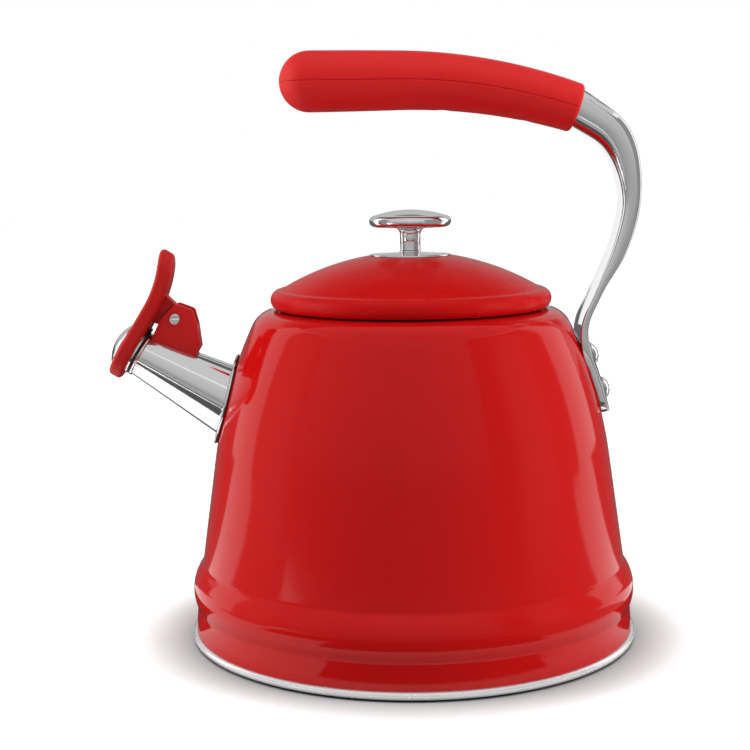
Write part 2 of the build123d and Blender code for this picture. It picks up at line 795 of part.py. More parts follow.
# Grip: a round-ended bar that follows the spine, parted along its middle into two halves
def grip_section(plane, share):
    """Oval across the grip; share runs from the round end (0) to the strap joint (1)."""
    taper = share**grip_taper
    tall = grip_diameter + (grip_joint_height - grip_diameter) * taper
    wide = grip_diameter + (grip_joint_width - grip_diameter) * taper
    with BuildSketch(plane) as oval:
        Ellipse(wide / 2, tall / 2)
    return oval.sketch.face()


def spine_share(turn):
    """Share of the spine's length where it has turned down by so many degrees."""
    return (straight_length + grip_bend * radians(turn)) / spine_length


def grip_side(upper):
    """Thick slab above or below the parting line, which follows the spine."""
    side = 1 if upper else -1
    reach = grip_bend + side * parting_gap / 2
    beyond = radians(grip_slab_turn)
    level = spine_centre[1] + reach
    far = (spine_centre[0] + reach * sin(beyond), spine_centre[1] + reach * cos(beyond))
    middle = (spine_centre[0] + reach * sin(beyond / 2), spine_centre[1] + reach * cos(beyond / 2))
    stop = grip_height + side * 2 * grip_diameter
    with BuildPart() as slab:
        with BuildSketch(Plane.XZ):
            with BuildLine():
                Line((grip_end_x - grip_diameter, level), (grip_bend_x, level))
                ThreePointArc((grip_bend_x, level), middle, far)
                Line(far, (far[0], stop))
                Line((far[0], stop), (grip_end_x - grip_diameter, stop))
                Line((grip_end_x - grip_diameter, stop), (grip_end_x - grip_diameter, level))
            make_face()
        extrude(amount=grip_joint_width, both=True)
    return slab.part


spine_start = Plane(origin=(dome_centre_x, 0, grip_height), x_dir=(0, 1, 0), z_dir=(1, 0, 0))
spine_sections = [grip_section(spine_start, 0)]
for step in range(4):
    turn = grip_turn * step / 3
    spine_sections.append(grip_section(spine_plane(turn), spine_share(turn)))
with BuildPart() as grip_form:
    loft(spine_sections)
    with BuildSketch(Plane.XZ):
        with Locations((dome_centre_x, grip_height)):
            Circle(grip_diameter / 2)
            with Locations((grip_diameter / 2, 0), (0, -grip_diameter / 2)):
                Rectangle(grip_diameter, grip_diameter, mode=Mode.SUBTRACT)
    revolve(axis=Axis((dome_centre_x, 0, grip_height), (1, 0, 0)))
    joint_face = grip_form.faces().filter_by(GeomType.PLANE).sort_by(Axis.X)[-1]
    fillet(joint_face.edges(), grip_edge)
    add(tang_socket, mode=Mode.SUBTRACT)

upper_side = grip_side(True)
lower_side = grip_side(False)
with BuildPart() as grip_upper:
    add(grip_form.part)
    add(upper_side, mode=Mode.INTERSECT)
    for turn in grip_screw_turns:
        with BuildSketch(spine_normal_plane(turn, 0)):
            Circle(grip_screw_radius + fit_gap)
        extrude(amount=grip_screw_reach + fit_gap, mode=Mode.SUBTRACT)
grip_upper.part.label = "grip_upper"
export_step(grip_upper.part, "parts/grip_upper.step")

with BuildPart() as grip_lower:
    add(grip_form.part)
    add(lower_side, mode=Mode.INTERSECT)
    for turn in grip_screw_turns:
        with BuildSketch(spine_normal_plane(turn, 0)):
            Circle(grip_screw_radius + fit_gap)
        extrude(amount=-grip_diameter, mode=Mode.SUBTRACT)
        with BuildSketch(spine_normal_plane(turn, -grip_screw_seat)):
            Circle(grip_screw_head_radius + fit_gap)
        extrude(amount=-grip_diameter, mode=Mode.SUBTRACT)
grip_lower.part.label = "grip_lower"
export_step(grip_lower.part, "parts/grip_lower.step")

# Grip screws: pan heads sunk in the underside, through the tang into the upper half
with BuildPart() as grip_screws:
    for turn in grip_screw_turns:
        with BuildSketch(spine_normal_plane(turn, -grip_screw_seat - fit_gap)):
            Circle(grip_screw_radius)
        extrude(amount=grip_screw_seat + fit_gap + grip_screw_reach)
        with BuildSketch(spine_normal_plane(turn, -grip_screw_seat - fit_gap)):
            Circle(grip_screw_head_radius)
        extrude(amount=-grip_screw_head_height)
grip_screws.part.label = "grip_screws"
export_step(grip_screws.part, "parts/grip_screws.step")

# Lid shell: spherical dome with a flat seat for the knob and a rolled edge
dome_centre = (
    lid_seat_radius**2 + lid_seat_height**2 - valley_radius**2 - valley_height**2
) / (2 * (lid_seat_height - valley_height))
dome_sphere = hypot(lid_seat_radius, lid_seat_height - dome_centre)
dome_middle = (lid_seat_radius + valley_radius) / 2
lid_hole = knob_screw_radius + fit_gap


def cover_line(inset):
    """One face of the lid sheet, from the screw hole over the dome to the end of the rolled edge."""
    sphere = dome_sphere - inset
    seat_height = lid_seat_height - inset
    seat = (sqrt(sphere**2 - (seat_height - dome_centre) ** 2), seat_height)
    shrink = sphere / dome_sphere
    valley = (valley_radius * shrink, dome_centre + (valley_height - dome_centre) * shrink)
    Line((lid_hole, seat_height), seat)
    ThreePointArc(seat, (dome_middle, dome_centre + sqrt(sphere**2 - dome_middle**2)), valley)
    ThreePointArc(
        valley, (rolled_radius - inset, rolled_height), (rolled_end_radius - inset, rolled_end_height)
    )


with BuildPart() as lid_shell:
    with BuildSketch(Plane.XZ) as cover:
        with BuildLine():
            cover_line(0)
            cover_line(lid_wall)
            Line((lid_hole, lid_seat_height), (lid_hole, lid_seat_height - lid_wall))
            Line((rolled_end_radius, rolled_end_height), (rolled_end_radius - lid_wall, rolled_end_height))
        make_face()
        valleys = cover.vertices().filter_by_position(Axis.X, valley_radius - lid_wall, valley_radius)
        fillet(valleys, valley_fillet)
    revolve(axis=Axis.Z)
lid_shell.part.label = "lid_shell"
export_step(lid_shell.part, "parts/lid_shell.step")

# Lid seal: silicone ring round the plug, with a flange that rests on the shoulder
liner_radius = neck_radius - lid_gap - seal_thickness
seal_bottom = top_height + lid_rest_gap
with BuildPart() as lid_seal:
    with BuildSketch(Plane.XZ):
        with BuildLine():
            Polyline(
                (liner_radius, seal_bottom - seal_depth),
                (neck_radius - lid_gap, seal_bottom - seal_depth),
                (neck_radius - lid_gap, seal_bottom),
                (seal_flange_radius, seal_bottom),
                (seal_flange_radius, seal_bottom + seal_thickness),
                (liner_radius, seal_bottom + seal_thickness),
                close=True,
            )
        make_face()
    revolve(axis=Axis.Z)
lid_seal.part.label = "lid_seal"
export_step(lid_seal.part, "parts/lid_seal.step")

# Lid liner: plug ring whose flange sits in the rolled edge
liner_flange_bottom = seal_bottom + seal_thickness + seat_gap
liner_flange_radius = rolled_end_radius - lid_wall - lid_gap
with BuildPart() as lid_liner:
    with BuildSketch(Plane.XZ):
        with BuildLine():
            Polyline(
                (liner_radius - seat_gap, seal_bottom - liner_depth),
                (liner_radius - seat_gap, liner_flange_bottom),
                (liner_flange_radius, liner_flange_bottom),
                (liner_flange_radius, liner_flange_bottom + liner_wall),
                (liner_radius - seat_gap - liner_wall, liner_flange_bottom + liner_wall),
                (liner_radius - seat_gap - liner_wall, seal_bottom - liner_depth),
                close=True,
            )
        make_face()
    revolve(axis=Axis.Z)
lid_liner.part.label = "lid_liner"
export_step(lid_liner.part, "parts/lid_liner.step")

# Knob rosette: thin crowned disc with a hub under the knob
rosette_bottom = lid_seat_height + seat_gap
with BuildPart() as knob_rosette:
    with BuildSketch(Plane.XZ) as disc_section:
        with BuildLine():
            Polyline(
                (hub_radius, rosette_bottom + rosette_edge + rosette_crown),
                (hub_radius, hub_height),
                (knob_screw_radius + fit_gap, hub_height),
                (knob_screw_radius + fit_gap, rosette_bottom),
                (rosette_radius, rosette_bottom),
                (rosette_radius, rosette_bottom + rosette_edge),
                close=True,
            )
        make_face()
        rosette_rim = disc_section.vertices().group_by(Axis.X)[-1].sort_by(Axis.Y)[-1]
        fillet(rosette_rim, rosette_edge / 2)
    revolve(axis=Axis.Z)
knob_rosette.part.label = "knob_rosette"
export_step(knob_rosette.part, "parts/knob_rosette.step")

# Knob: turned stem that flares into a round-edged head
stem_bottom = hub_height + seat_gap
with BuildPart() as knob:
    with BuildSketch(Plane.XZ):
        with BuildLine():
            Polyline((0, knob_top), (0, stem_bottom), (stem_radius, stem_bottom), (stem_radius, stem_top))
            flare = TangentArc((stem_radius, stem_top), (flare_radius, head_bottom), tangent=(0, 1))
            Line(flare @ 1, (head_rim_radius, head_bottom))
            ThreePointArc(
                (head_rim_radius, head_bottom),
                (head_radius, (head_bottom + head_rim_top) / 2),
                (head_rim_radius, head_rim_top),
            )
            TangentArc((0, knob_top), (head_rim_radius, head_rim_top), tangent=(1, 0))
        make_face()
    revolve(axis=Axis.Z)
    with BuildSketch(Plane.XY.offset(stem_bottom)):
        Circle(knob_screw_radius + fit_gap)
    extrude(amount=knob_screw_reach + fit_gap, mode=Mode.SUBTRACT)
knob.part.label = "knob"
export_step(knob.part, "parts/knob.step")

# Knob washer and screw, under the dome
washer_level = lid_seat_height - lid_wall - seat_gap
with BuildPart() as knob_washer:
    with BuildSketch(Plane.XY.offset(washer_level - knob_washer_thickness)):
        Circle(knob_washer_radius)
        Circle(knob_screw_radius + fit_gap, mode=Mode.SUBTRACT)
    extrude(amount=knob_washer_thickness)
knob_washer.part.label = "knob_washer"
export_step(knob_washer.part, "parts/knob_washer.step")

head_level = washer_level - knob_washer_thickness - seat_gap
with BuildPart() as knob_screw:
    with BuildSketch(Plane.XY.offset(head_level)):
        Circle(knob_screw_radius)
    extrude(amount=stem_bottom + knob_screw_reach - head_level)
    with BuildSketch(Plane.XY.offset(head_level)):
        Circle(knob_screw_head_radius)
    extrude(amount=-knob_screw_head_height)
    fillet(knob_screw.faces().sort_by(Axis.Z)[0].edges(), knob_screw_head_height / 2)
knob_screw.part.label = "knob_screw"
export_step(knob_screw.part, "parts/knob_screw.step")

# Whistle lever: tongue-shaped cap and thumb tab, with a forked lug on the hinge pin
lever_turn = degrees(asin((thumb_end + thumb_radius - lever_straight) / lever_bend))
lever_tail = cap_radius + thumb_radius
with BuildPart() as whistle_lever:
    with BuildSketch(lever_plane):
        with BuildLine():
            Line((-lever_tail, lever_back), (lever_straight, lever_back))
            back_arc = JernArc(
                (lever_straight, lever_back), (1, 0), lever_bend + lever_thickness / 2, lever_turn
            )
            Line((-lever_tail, lever_front), (lever_straight, lever_front))
            front_arc = JernArc(
                (lever_straight, lever_front), (1, 0), lever_bend - lever_thickness / 2, lever_turn
            )
            Line((-lever_tail, lever_back), (-lever_tail, lever_front))
            Line(back_arc @ 1, front_arc @ 1)
        make_face()
    extrude(amount=lever_tail, both=True)
    with BuildSketch(mouth_plane):
        Circle(cap_radius)
        with Locations((0, thumb_end - thumb_radius)):
            Circle(thumb_radius)
        make_hull()
    extrude(amount=2 * thumb_end, both=True, mode=Mode.INTERSECT)
    rims = whistle_lever.edges().filter_by(mouth_line, reverse=True).filter_by(Axis.Y, reverse=True)
    fillet(rims, lever_round)
    with BuildSketch(lever_plane):
        with Locations((hinge_u, hinge_v)):
            Circle(lug_radius)
        with Locations((hinge_u, lever_back + lever_thickness / 4)):
            Rectangle(2 * lug_root, lever_thickness / 2)
        make_hull()
    extrude(amount=lug_half_width, both=True)
    with BuildSketch(mouth_plane):
        Circle(whistle_bore)
    extrude(amount=2 * thumb_end, both=True, mode=Mode.SUBTRACT)
    with BuildSketch(lever_plane):
        with Locations((hinge_u, hinge_v)):
            Circle(pin_radius + pin_gap)
    extrude(amount=2 * lug_half_width, both=True, mode=Mode.SUBTRACT)
    with BuildSketch(lever_plane):
        with Locations((hinge_u, hinge_v)):
            Circle(coil_radius + wire_radius + spring_side_gap)
            with Locations((0, -lug_radius)):
                Rectangle(2 * lug_radius, 2 * lug_radius)
        with Locations((hinge_u + coil_radius, (hinge_v + lever_back) / 2)):
            Rectangle(4 * wire_radius, lever_back - hinge_v)
    extrude(amount=spring_half_width, both=True, mode=Mode.SUBTRACT)
whistle_lever.part.label = "whistle_lever"
export_step(whistle_lever.part, "parts/whistle_lever.step")

# Whistle dome: pierced chrome cap in the front of the lever
dome_foot = lever_front + seat_gap
sleeve_radius = whistle_bore - fit_gap
with BuildPart() as whistle_dome:
    with BuildSketch(lever_plane):
        with BuildLine():
            Polyline(
                (0, dome_foot + dome_edge + dome_rise),
                (0, dome_foot),
                (dome_radius, dome_foot),
                (dome_radius, dome_foot + dome_edge),
            )
            TangentArc(
                (0, dome_foot + dome_edge + dome_rise), (dome_radius, dome_foot + dome_edge), tangent=(1, 0)
            )
        make_face()
    revolve(axis=mouth_line)
    with BuildSketch(mouth_plane.offset(dome_foot - whistle_sleeve)):
        Circle(sleeve_radius)
    extrude(amount=whistle_sleeve)
    with BuildSketch(lever_plane):
        with BuildLine():
            Polyline(
                (0, dome_foot + dome_rise),
                (0, dome_foot - whistle_sleeve),
                (sleeve_radius - sleeve_wall, dome_foot - whistle_sleeve),
                (sleeve_radius - sleeve_wall, dome_foot),
            )
            TangentArc((0, dome_foot + dome_rise), (sleeve_radius - sleeve_wall, dome_foot), tangent=(1, 0))
        make_face()
    revolve(axis=mouth_line, mode=Mode.SUBTRACT)
    with BuildSketch(mouth_plane):
        Circle(steam_hole_radius)
    extrude(amount=2 * thumb_end, mode=Mode.SUBTRACT)
whistle_dome.part.label = "whistle_dome"
export_step(whistle_dome.part, "parts/whistle_dome.step")

# Whistle plate: pierced steel disc behind the lever, with a sleeve in its bore
plate_back = cap_rest_gap + cap_seal_thickness
with BuildPart() as whistle_plate:
    with BuildSketch(mouth_plane.offset(plate_back)):
        Circle(cap_plate_radius)
        Circle(steam_hole_radius, mode=Mode.SUBTRACT)
    extrude(amount=cap_plate_thickness - seat_gap)
    with BuildSketch(mouth_plane.offset(plate_back)):
        Circle(sleeve_radius)
        Circle(sleeve_radius - sleeve_wall, mode=Mode.SUBTRACT)
    extrude(amount=cap_plate_thickness + whistle_sleeve)
whistle_plate.part.label = "whistle_plate"
export_step(whistle_plate.part, "parts/whistle_plate.step")

# Whistle seal: silicone ring against the mouth, with a pull nib at the top
with BuildPart() as whistle_seal:
    with BuildSketch(mouth_plane.offset(cap_rest_gap)):
        Circle(cap_seal_radius)
        Circle(cap_seal_bore, mode=Mode.SUBTRACT)
    extrude(amount=cap_seal_thickness - seat_gap)
    nib_end = cap_plate_radius + nib_length
    with BuildSketch(mouth_plane.offset(cap_rest_gap)):
        with Locations((0, (cap_seal_bore + nib_end) / 2)):
            Rectangle(nib_width, nib_end - cap_seal_bore)
    extrude(amount=cap_seal_thickness - seat_gap)
    with BuildSketch(mouth_plane.offset(cap_rest_gap)):
        with Locations((0, nib_end - (nib_length - fit_gap) / 2)):
            Rectangle(nib_width, nib_length - fit_gap)
    extrude(amount=lever_back - cap_rest_gap - seat_gap)
whistle_seal.part.label = "whistle_seal"
export_step(whistle_seal.part, "parts/whistle_seal.step")
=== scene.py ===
"""Looks of a red stovetop whistling kettle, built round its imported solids.

The solids are the fixed frame. Each operator makes one piece, or one group of like pieces, in the same
place and at the same size as the solid that it stands for.
"""

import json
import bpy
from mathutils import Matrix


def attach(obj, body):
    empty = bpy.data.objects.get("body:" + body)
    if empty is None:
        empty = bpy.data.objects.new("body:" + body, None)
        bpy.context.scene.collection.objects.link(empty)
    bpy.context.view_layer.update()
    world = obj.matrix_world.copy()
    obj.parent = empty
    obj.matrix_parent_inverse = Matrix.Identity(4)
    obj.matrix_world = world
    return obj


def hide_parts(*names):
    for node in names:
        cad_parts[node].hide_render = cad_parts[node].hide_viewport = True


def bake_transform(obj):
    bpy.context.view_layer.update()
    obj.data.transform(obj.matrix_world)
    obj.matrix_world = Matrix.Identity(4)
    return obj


bl_info = {
    "name": "Stovetop Kettle",
    "version": (1, 0, 0),
    "blender": (4, 5, 0),
    "location": "View3D > Sidebar > Kettle",
    "description": "Builds an enamelled whistling kettle piece by piece round its packed solids",
    "category": "Add Mesh",
}

from math import asin, atan2, cos, degrees, hypot, pi, radians, sin, sqrt, tan

import bmesh
import bpy
import numpy as np
from bpy.props import FloatProperty, FloatVectorProperty, IntProperty, PointerProperty
from mathutils import Matrix, Vector

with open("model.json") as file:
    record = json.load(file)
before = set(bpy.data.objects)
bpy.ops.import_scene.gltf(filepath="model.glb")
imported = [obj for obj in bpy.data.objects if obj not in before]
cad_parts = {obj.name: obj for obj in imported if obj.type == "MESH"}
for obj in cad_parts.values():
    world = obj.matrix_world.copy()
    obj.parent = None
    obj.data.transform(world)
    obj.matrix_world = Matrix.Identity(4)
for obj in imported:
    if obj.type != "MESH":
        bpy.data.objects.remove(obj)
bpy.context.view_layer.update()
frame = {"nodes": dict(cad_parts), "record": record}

MM = 0.001

# Body sheet, in millimetres: radius and height of the points where its outline turns
WALL = 1.0
SKIRT = (95.4, 4.0)
CREASE = (94.6, 15.0)
BEAD = (96.2, 22.8)
BEAD_TOP = (92.0, 33.2)
WALL_FOOT = (85.3, 80.0)
SHOULDER = (68.4, 136.3)
TOP_HEIGHT = 142.8
NECK_RADIUS = 52.0
NECK_DEPTH = 11.0
NECK_BEND = 2.0
SPOUT_HOLE_GAP = 0.1
SPOUT_HOLE_HALF = 12.0

# Base
RIM_RADIUS = 97.0
RIM_BOTTOM = 0.6
RIM_TOP = 3.9
RIM_INNER = 91.6
LAP_RADIUS = 93.2
LAP_HEIGHT = 12.5
PAN_WALL = 1.0
FLOOR_LOW = 5.6
FLOOR_HIGH = 6.6
PLATE_RADIUS = 89.05
PLATE_WALL = 1.0

# Lid
LID_WALL = 0.9
LID_HOLE = 2.05
LID_SEAT = (17.6, 165.3)
LID_VALLEY = (55.7, 151.3)
LID_ROLL = (60.4, 146.8)
LID_END = (58.6, 143.5)
SEAL_LOW = 143.1
SEAL_DEPTH = 8.0
SEAL_THICKNESS = 0.8
SEAL_FLANGE = 56.4
SEAL_RADIUS = 51.7
LINER_WALL = 0.9
LINER_DEPTH = 11.5
LINER_FLANGE = 57.4
SEAT_GAP = 0.05

# Knob
ROSETTE = (17.3, 165.35)
ROSETTE_EDGE = 0.7
ROSETTE_CROWN = 0.5
HUB = (4.6, 167.4)
STEM = (4.4, 174.0)
STEM_EDGE = 0.25
FLARE = (7.5, 177.5)
HEAD_RADIUS = 17.6
HEAD_RIM = 15.2
HEAD_RIM_TOP = 182.4
UNDERSIDE_EASE = 0.5
KNOB_TOP = 184.8

# Spout
SPOUT_HEIGHT = 103.5
SPOUT_SLOPE = 28.5
SPOUT_LENGTH = 42.7
SPOUT_BASE = 15.0
SPOUT_MOUTH = 9.4
SPOUT_WALL = 0.9
SPOUT_TAIL = -6.0
MOUTH_SLOPE = 30.8
LIP_RADIUS = 10.2
LIP_HEIGHT = 1.6
LIP_ROLL = 0.8
FLANGE_BORE = 15.3
FLANGE_RADIUS = 20.2
FLANGE_LOW = 0.65
FLANGE_THICKNESS = 0.9
GASKET_RADIUS = 19.7
GASKET_LOW = 0.05
GASKET_TOP = 0.6
SADDLE_EDGE = 0.3

# Whistle cap: up along the mouth (u) and out of it (v)
HINGE_U = 21.5
HINGE_V = -6.3
PIN_RADIUS = 1.5
PIN_HEAD = 2.4
PIN_HEAD_HEIGHT = 0.9
PIN_HALF = 5.15
LEVER_BACK = 1.7
LEVER_THICKNESS = 6.0
WHISTLE_BORE = 8.2
DOME_RADIUS = 9.8
DOME_RISE = 3.2
DOME_EDGE = 0.6
DOME_EASE = 0.1
DOME_WALL = 0.7
DOME_SLEEVE = 2.2
STEAM_HOLE = 1.5
STEAM_HOLE_DIP = 0.15
WIRE_RADIUS = 0.3
COIL_RADIUS = 2.5
COIL_TURNS = 2
COIL_PITCH = 1.05
SPRING_LEG = 6.0

# Handle strap: centre line as X and Z, with width, thickness, edge round and bow at each point
PAD_LOW = 98.0
PAD_HIGH = 123.0
PAD_WIDTH = 31.0
PAD_THICKNESS = 3.6
PAD_CORNER = 5.0
PAD_EDGE = 0.6
PAD_SEAT = 0.05
STRAP_LINE = ((74.3, 134.0), (79.7, 149.0), (88.3, 166.9), (93.4, 189.0), (86.0, 215.4))
STRAP_WIDTHS = (29.5, 27.5, 25.0, 23.0, 22.0, 22.0)
STRAP_THICKNESSES = (3.3, 3.1, 6.0, 7.6, 13.6, 15.4)
STRAP_ROUNDS = (0.7, 0.8, 1.5, 2.2, 3.4, 3.6)
STRAP_BOWS = (0.9, 0.4, 0.1, 0.05, 0.05, 0.05)
SIDE_CROWN = 0.07
TANG_TURN = 1.0
RIVET_HEIGHTS = (121.2, 106.4)
RIVET_HEAD = 4.7
RIVET_RISE = 2.5
RIVET_EDGE = 0.5
RIVET_EASE = 0.15

# Grip
GRIP_HEIGHT = 239.2
GRIP_END = -55.1
GRIP_DIAMETER = 25.9
GRIP_BEND_X = -5.0
GRIP_BEND = 235.0
GRIP_TURN = 18.9
GRIP_JOINT_HEIGHT = 20.8
GRIP_JOINT_WIDTH = 27.0
GRIP_TAPER = 1.5
GRIP_EDGE = 1.8
PARTING_EASE = 0.28
# Shares of the parting line's ease: how far its edge and the point over it are drawn in, and that rise
PARTING_DRAW = 0.6
PARTING_SIDE = 0.12
PARTING_RISE = 0.45
GRIP_SCREW_TURNS = (5.0, 14.0)
GRIP_SCREW_SEAT = 6.55
GRIP_SCREW_HEAD = 3.0
GRIP_SCREW_RISE = 2.0
GRIP_SCREW_EDGE = 0.45
GRIP_SCREW_WELL = 3.05
GRIP_SCREW_BELOW = 20.0
WELL_DEPTH = 12.0
RECESS_LONG = 1.7
RECESS_WIDE = 0.3
RECESS_FLOOR = 1.0
RECESS_TOP = 4.0

# Rounds of the corners of each turned outline, in the order of its corners
PAN_ROUNDS = (0, 0.4, 0.5, 1.6, 1.5, 0.2, 0.3, 0.3, 1.2, 0)
PLATE_ROUNDS = (0, 0.5, 0.2, 0.2, 0, 0)
SEAL_ROUNDS = (0.2, 0.3, 0.2, 0.3, 0.3, 0.2)
LINER_ROUNDS = (0.3, 0.2, 0.3, 0.3, 1.0, 0.3)
DISC_ROUNDS = (0, 0.1, 0.45, 0.35, 0.2, 0)
PIN_ROUNDS = (0, 0.55, 0.1, 0, 0, 0.1, 0.55, 0)

# Distance between the points of an outline; a pair is for its outside and its inside
SHEET_STEPS = (0.8, 2.4)
COVER_STEPS = (0.7, 1.6)
DOME_STEPS = (0.5, 0.8)
STEM_STEP = 0.25
UNDERSIDE_STEP = 0.6
HEAD_STEP = 0.35
CROWN_STEP = 0.8
RIVET_STEP = 0.35
SCREW_STEP = 0.3

# Counts of steps along curves, and of faces round small pieces
WALL_STEPS = 40
SHOULDER_STEPS = 8
LIP_STEPS = 8
SPOUT_STEPS = 24
BORE_STEPS = 12
SADDLE_STEPS = 5
COIL_STEPS = 32
STRAP_STATIONS = 150
GRIP_DOME_STEPS = 24
GRIP_STEPS = 96
GRIP_END_STEPS = 8
GRIP_SIDES = 48
CARD_STEPS = 24
PIN_SEGMENTS = 48
DOME_SEGMENTS = 96
RIVET_SEGMENTS = 64
SCREW_SEGMENTS = 40
WIRE_SIDES = 12

# Stretch of a noise that is used in full
NOISE_MIDDLE = {"From_Min": 0.32, "From_Max": 0.68}

# Angles in degrees past which an edge stays sharp
SHARP = 40
SHEET_SHARP = 50
WIRE_SHARP = 50
TURNED_SHARP = 35
MOULDED_SHARP = 30
KNOB_SHARP = 60

# Finish of the solids that stay as they are, by their material slot
SLOT_FINISHES = {
    "red_enamel": "red_enamel",
    "red_plastic": "red_moulding",
    "polished_steel": "polished_steel",
    "steel": "brushed_steel",
    "aluminium": "spun_aluminium",
    "black_rubber": "black_rubber",
}

# Stage, in metres
WHITE = (1, 1, 1, 1)
AIM_HEIGHT = 0.12
SENSOR_WIDTH = 36.0
CLIP_NEAR = 0.01
CLIP_FAR = 50.0
FLOOR_HALF = 4.0
FLOOR_GREY = 0.62
FLOOR_ROUGHNESS = 0.9
FLOOR_IOR = 1.1
# Painted shadow on the floor: its white glow is weaker near the kettle than far off, and occlusion dims
# that glow and darkens the floor's grey at the contact
PAINTED_FLOOR_SHADOW = {"From_Min": 0.12, "From_Max": 0.8, "To_Min": 0.57, "To_Max": 0.78}
PAINTED_CONTACT_SHADE_REACH = 0.03
PAINTED_CONTACT_SHADE_DEPTH = 2.8
PAINTED_CONTACT_SHADE_SAMPLES = 8

# Soft boxes: place, width and height
SIDE_BOXES = {
    "left_box": ((-1.05, -0.1, 0.34), (0.55, 1.1)),
    "right_box": ((1.05, -0.3, 0.34), (0.5, 1.1)),
}
TOP_BOX = ((0.0, -0.1, 1.3), (1.2, 0.9))

# Grey cards that only mirrors see. Turns round the kettle from the camera, in degrees
FRONT = (-68, 44)
LEFT = (-101, -68)
LEFT_WINDOW = (-125, -101)
RIGHT = (44, 107)
RIGHT_WINDOW = (107, 132)
BACK = (132, 235)
# Greys at the low and the high edge
WINDOW_GREY = (1.3, 1.3)
SIDE_GREY = (0.3, 0.3)
BACK_GREY = (0.13, 0.13)
NEAR_GREY = (0.1, 0.1)
# Heights, and how far out the cards stand
CARD_LOW = 0.01
CARD_TOP = 1.5
CARD_REACH = 1.5
FLOOR_CARD = (0.002, CARD_LOW)
NEAR_CARD = (0.001, 0.002)
# Upright cards: turns, heights and greys, and a foot and a reach where the card runs over the floor
UPRIGHT_CARDS = {
    "front_card": (FRONT, (0.4, CARD_TOP), (0.55, 0.68)),
    "low_front_card": (FRONT, (CARD_LOW, 0.4), (0.28, 0.55)),
    "left_card": (LEFT, (CARD_LOW, CARD_TOP), SIDE_GREY),
    "left_window": (LEFT_WINDOW, (CARD_LOW, CARD_TOP), WINDOW_GREY),
    "right_card": (RIGHT, (CARD_LOW, CARD_TOP), SIDE_GREY),
    "right_window": (RIGHT_WINDOW, (CARD_LOW, CARD_TOP), WINDOW_GREY),
    "back_card": (BACK, (CARD_LOW, 0.24), BACK_GREY),
    "strap_window": ((171, 189), (CARD_LOW, 0.24), (1.0, 1.0), 1.45, 1.45),
    "back_band": (BACK, (0.24, 1.1), (0.5, 0.6)),
    "back_top_card": (BACK, (1.1, CARD_TOP), (0.3, 0.12)),
    "left_floor_card": ((-98, -68), FLOOR_CARD, SIDE_GREY, 0.26),
    "left_floor_window": ((-120, -98), FLOOR_CARD, WINDOW_GREY, 0.14),
    "right_floor_card": ((44, 99), FLOOR_CARD, SIDE_GREY, 0.14),
    "right_floor_window": ((99, 121), FLOOR_CARD, WINDOW_GREY, 0.14),
    "back_floor_card": ((121, 240), FLOOR_CARD, BACK_GREY, 0.14),
    "near_floor_card": ((85, 275), NEAR_CARD, (0.04, 0.04), 0.1, 0.14),
    "near_front_card": ((-30, 44), NEAR_CARD, NEAR_GREY, 0.125, 0.41),
    "near_left_card": ((-60, -30), NEAR_CARD, NEAR_GREY, 0.17, 0.41),
}
# Level cards: stretch in X and in Y, height and grey
LEVEL_CARDS = {
    "ceiling_card": ((-1.3, 1.3), (-1.3, 0.62), CARD_TOP, 0.68),
    "back_ceiling_card": ((-1.3, 1.3), (0.62, 1.3), CARD_TOP, 0.12),
    "floor_card": ((-1.1, 1.1), (-1.3, -0.44), 0.004, 0.4),
    "dark_strip": ((-0.5, 0.5), (-0.46, -0.35), 0.005, 0.06),
}


# Settings


def color_property(name, description, default):
    """Colour that a user can change."""
    return FloatVectorProperty(
        name=name, description=description, default=default, subtype="COLOR", size=3, min=0, max=1
    )


def share_property(name, description, default):
    """Share, from none to all, that a user can change."""
    return FloatProperty(
        name=name, description=description, default=default, subtype="FACTOR", min=0, max=1
    )


def length_property(name, description, default, longest):
    """Length that a user can change."""
    return FloatProperty(
        name=name, description=description, default=default, subtype="DISTANCE", unit="LENGTH",
        min=0, max=longest,
    )


def angle_property(name, description, default):
    """Angle that a user can change."""
    return FloatProperty(
        name=name, description=description, default=default, subtype="ANGLE", unit="ROTATION"
    )


class KettleFinish(bpy.types.PropertyGroup):
    """Colours and surface finish of the kettle."""

    enamel: color_property("Enamel", "Colour of the body and the lid", (0.46, 0.0036, 0.0034))
    # Painted light: the bracket is the lever's red plastic, set lighter to stand in for the light that
    # falls on it
    moulding_painted_lighter: color_property("Moulding", "Colour of the bracket", (0.62, 0.0076, 0.007))
    lever: color_property("Lever", "Colour of the lever with its thumb tab", (0.43, 0.0056, 0.0052))
    # Painted light: the grip is the lever's red plastic, set lighter to stand in for the light that falls
    # on it from above
    grip: color_property("Grip", "Colour of the soft grip", (0.6, 0.0085, 0.008))
    steel: color_property("Steel", "Colour of the polished steel", (0.8, 0.8, 0.805))
    rubber: color_property("Rubber", "Colour of the seals", (0.012, 0.012, 0.012))
    enamel_roughness: share_property("Enamel Roughness", "Blur of the reflections in the body", 0.09)
    lid_roughness: share_property("Lid Roughness", "Blur of the reflections in the lid", 0.28)
    moulding_roughness: share_property("Moulding Roughness", "Blur of the reflections in mouldings", 0.46)


class KettleShape(bpy.types.PropertyGroup):
    """How finely the pieces are drawn and how soft their edges are."""

    segments: IntProperty(
        name="Segments", description="Faces round each turned piece", min=48, max=320, default=176
    )
    crease: length_property("Crease", "Softness of the creases pressed into the sheet", 0.0011, 0.005)
    parting: length_property("Parting", "Gap of the parting line along the grip", 0.0001, 0.001)
    edge: length_property("Edge", "Round on the edges of the bracket", 0.00035, 0.001)


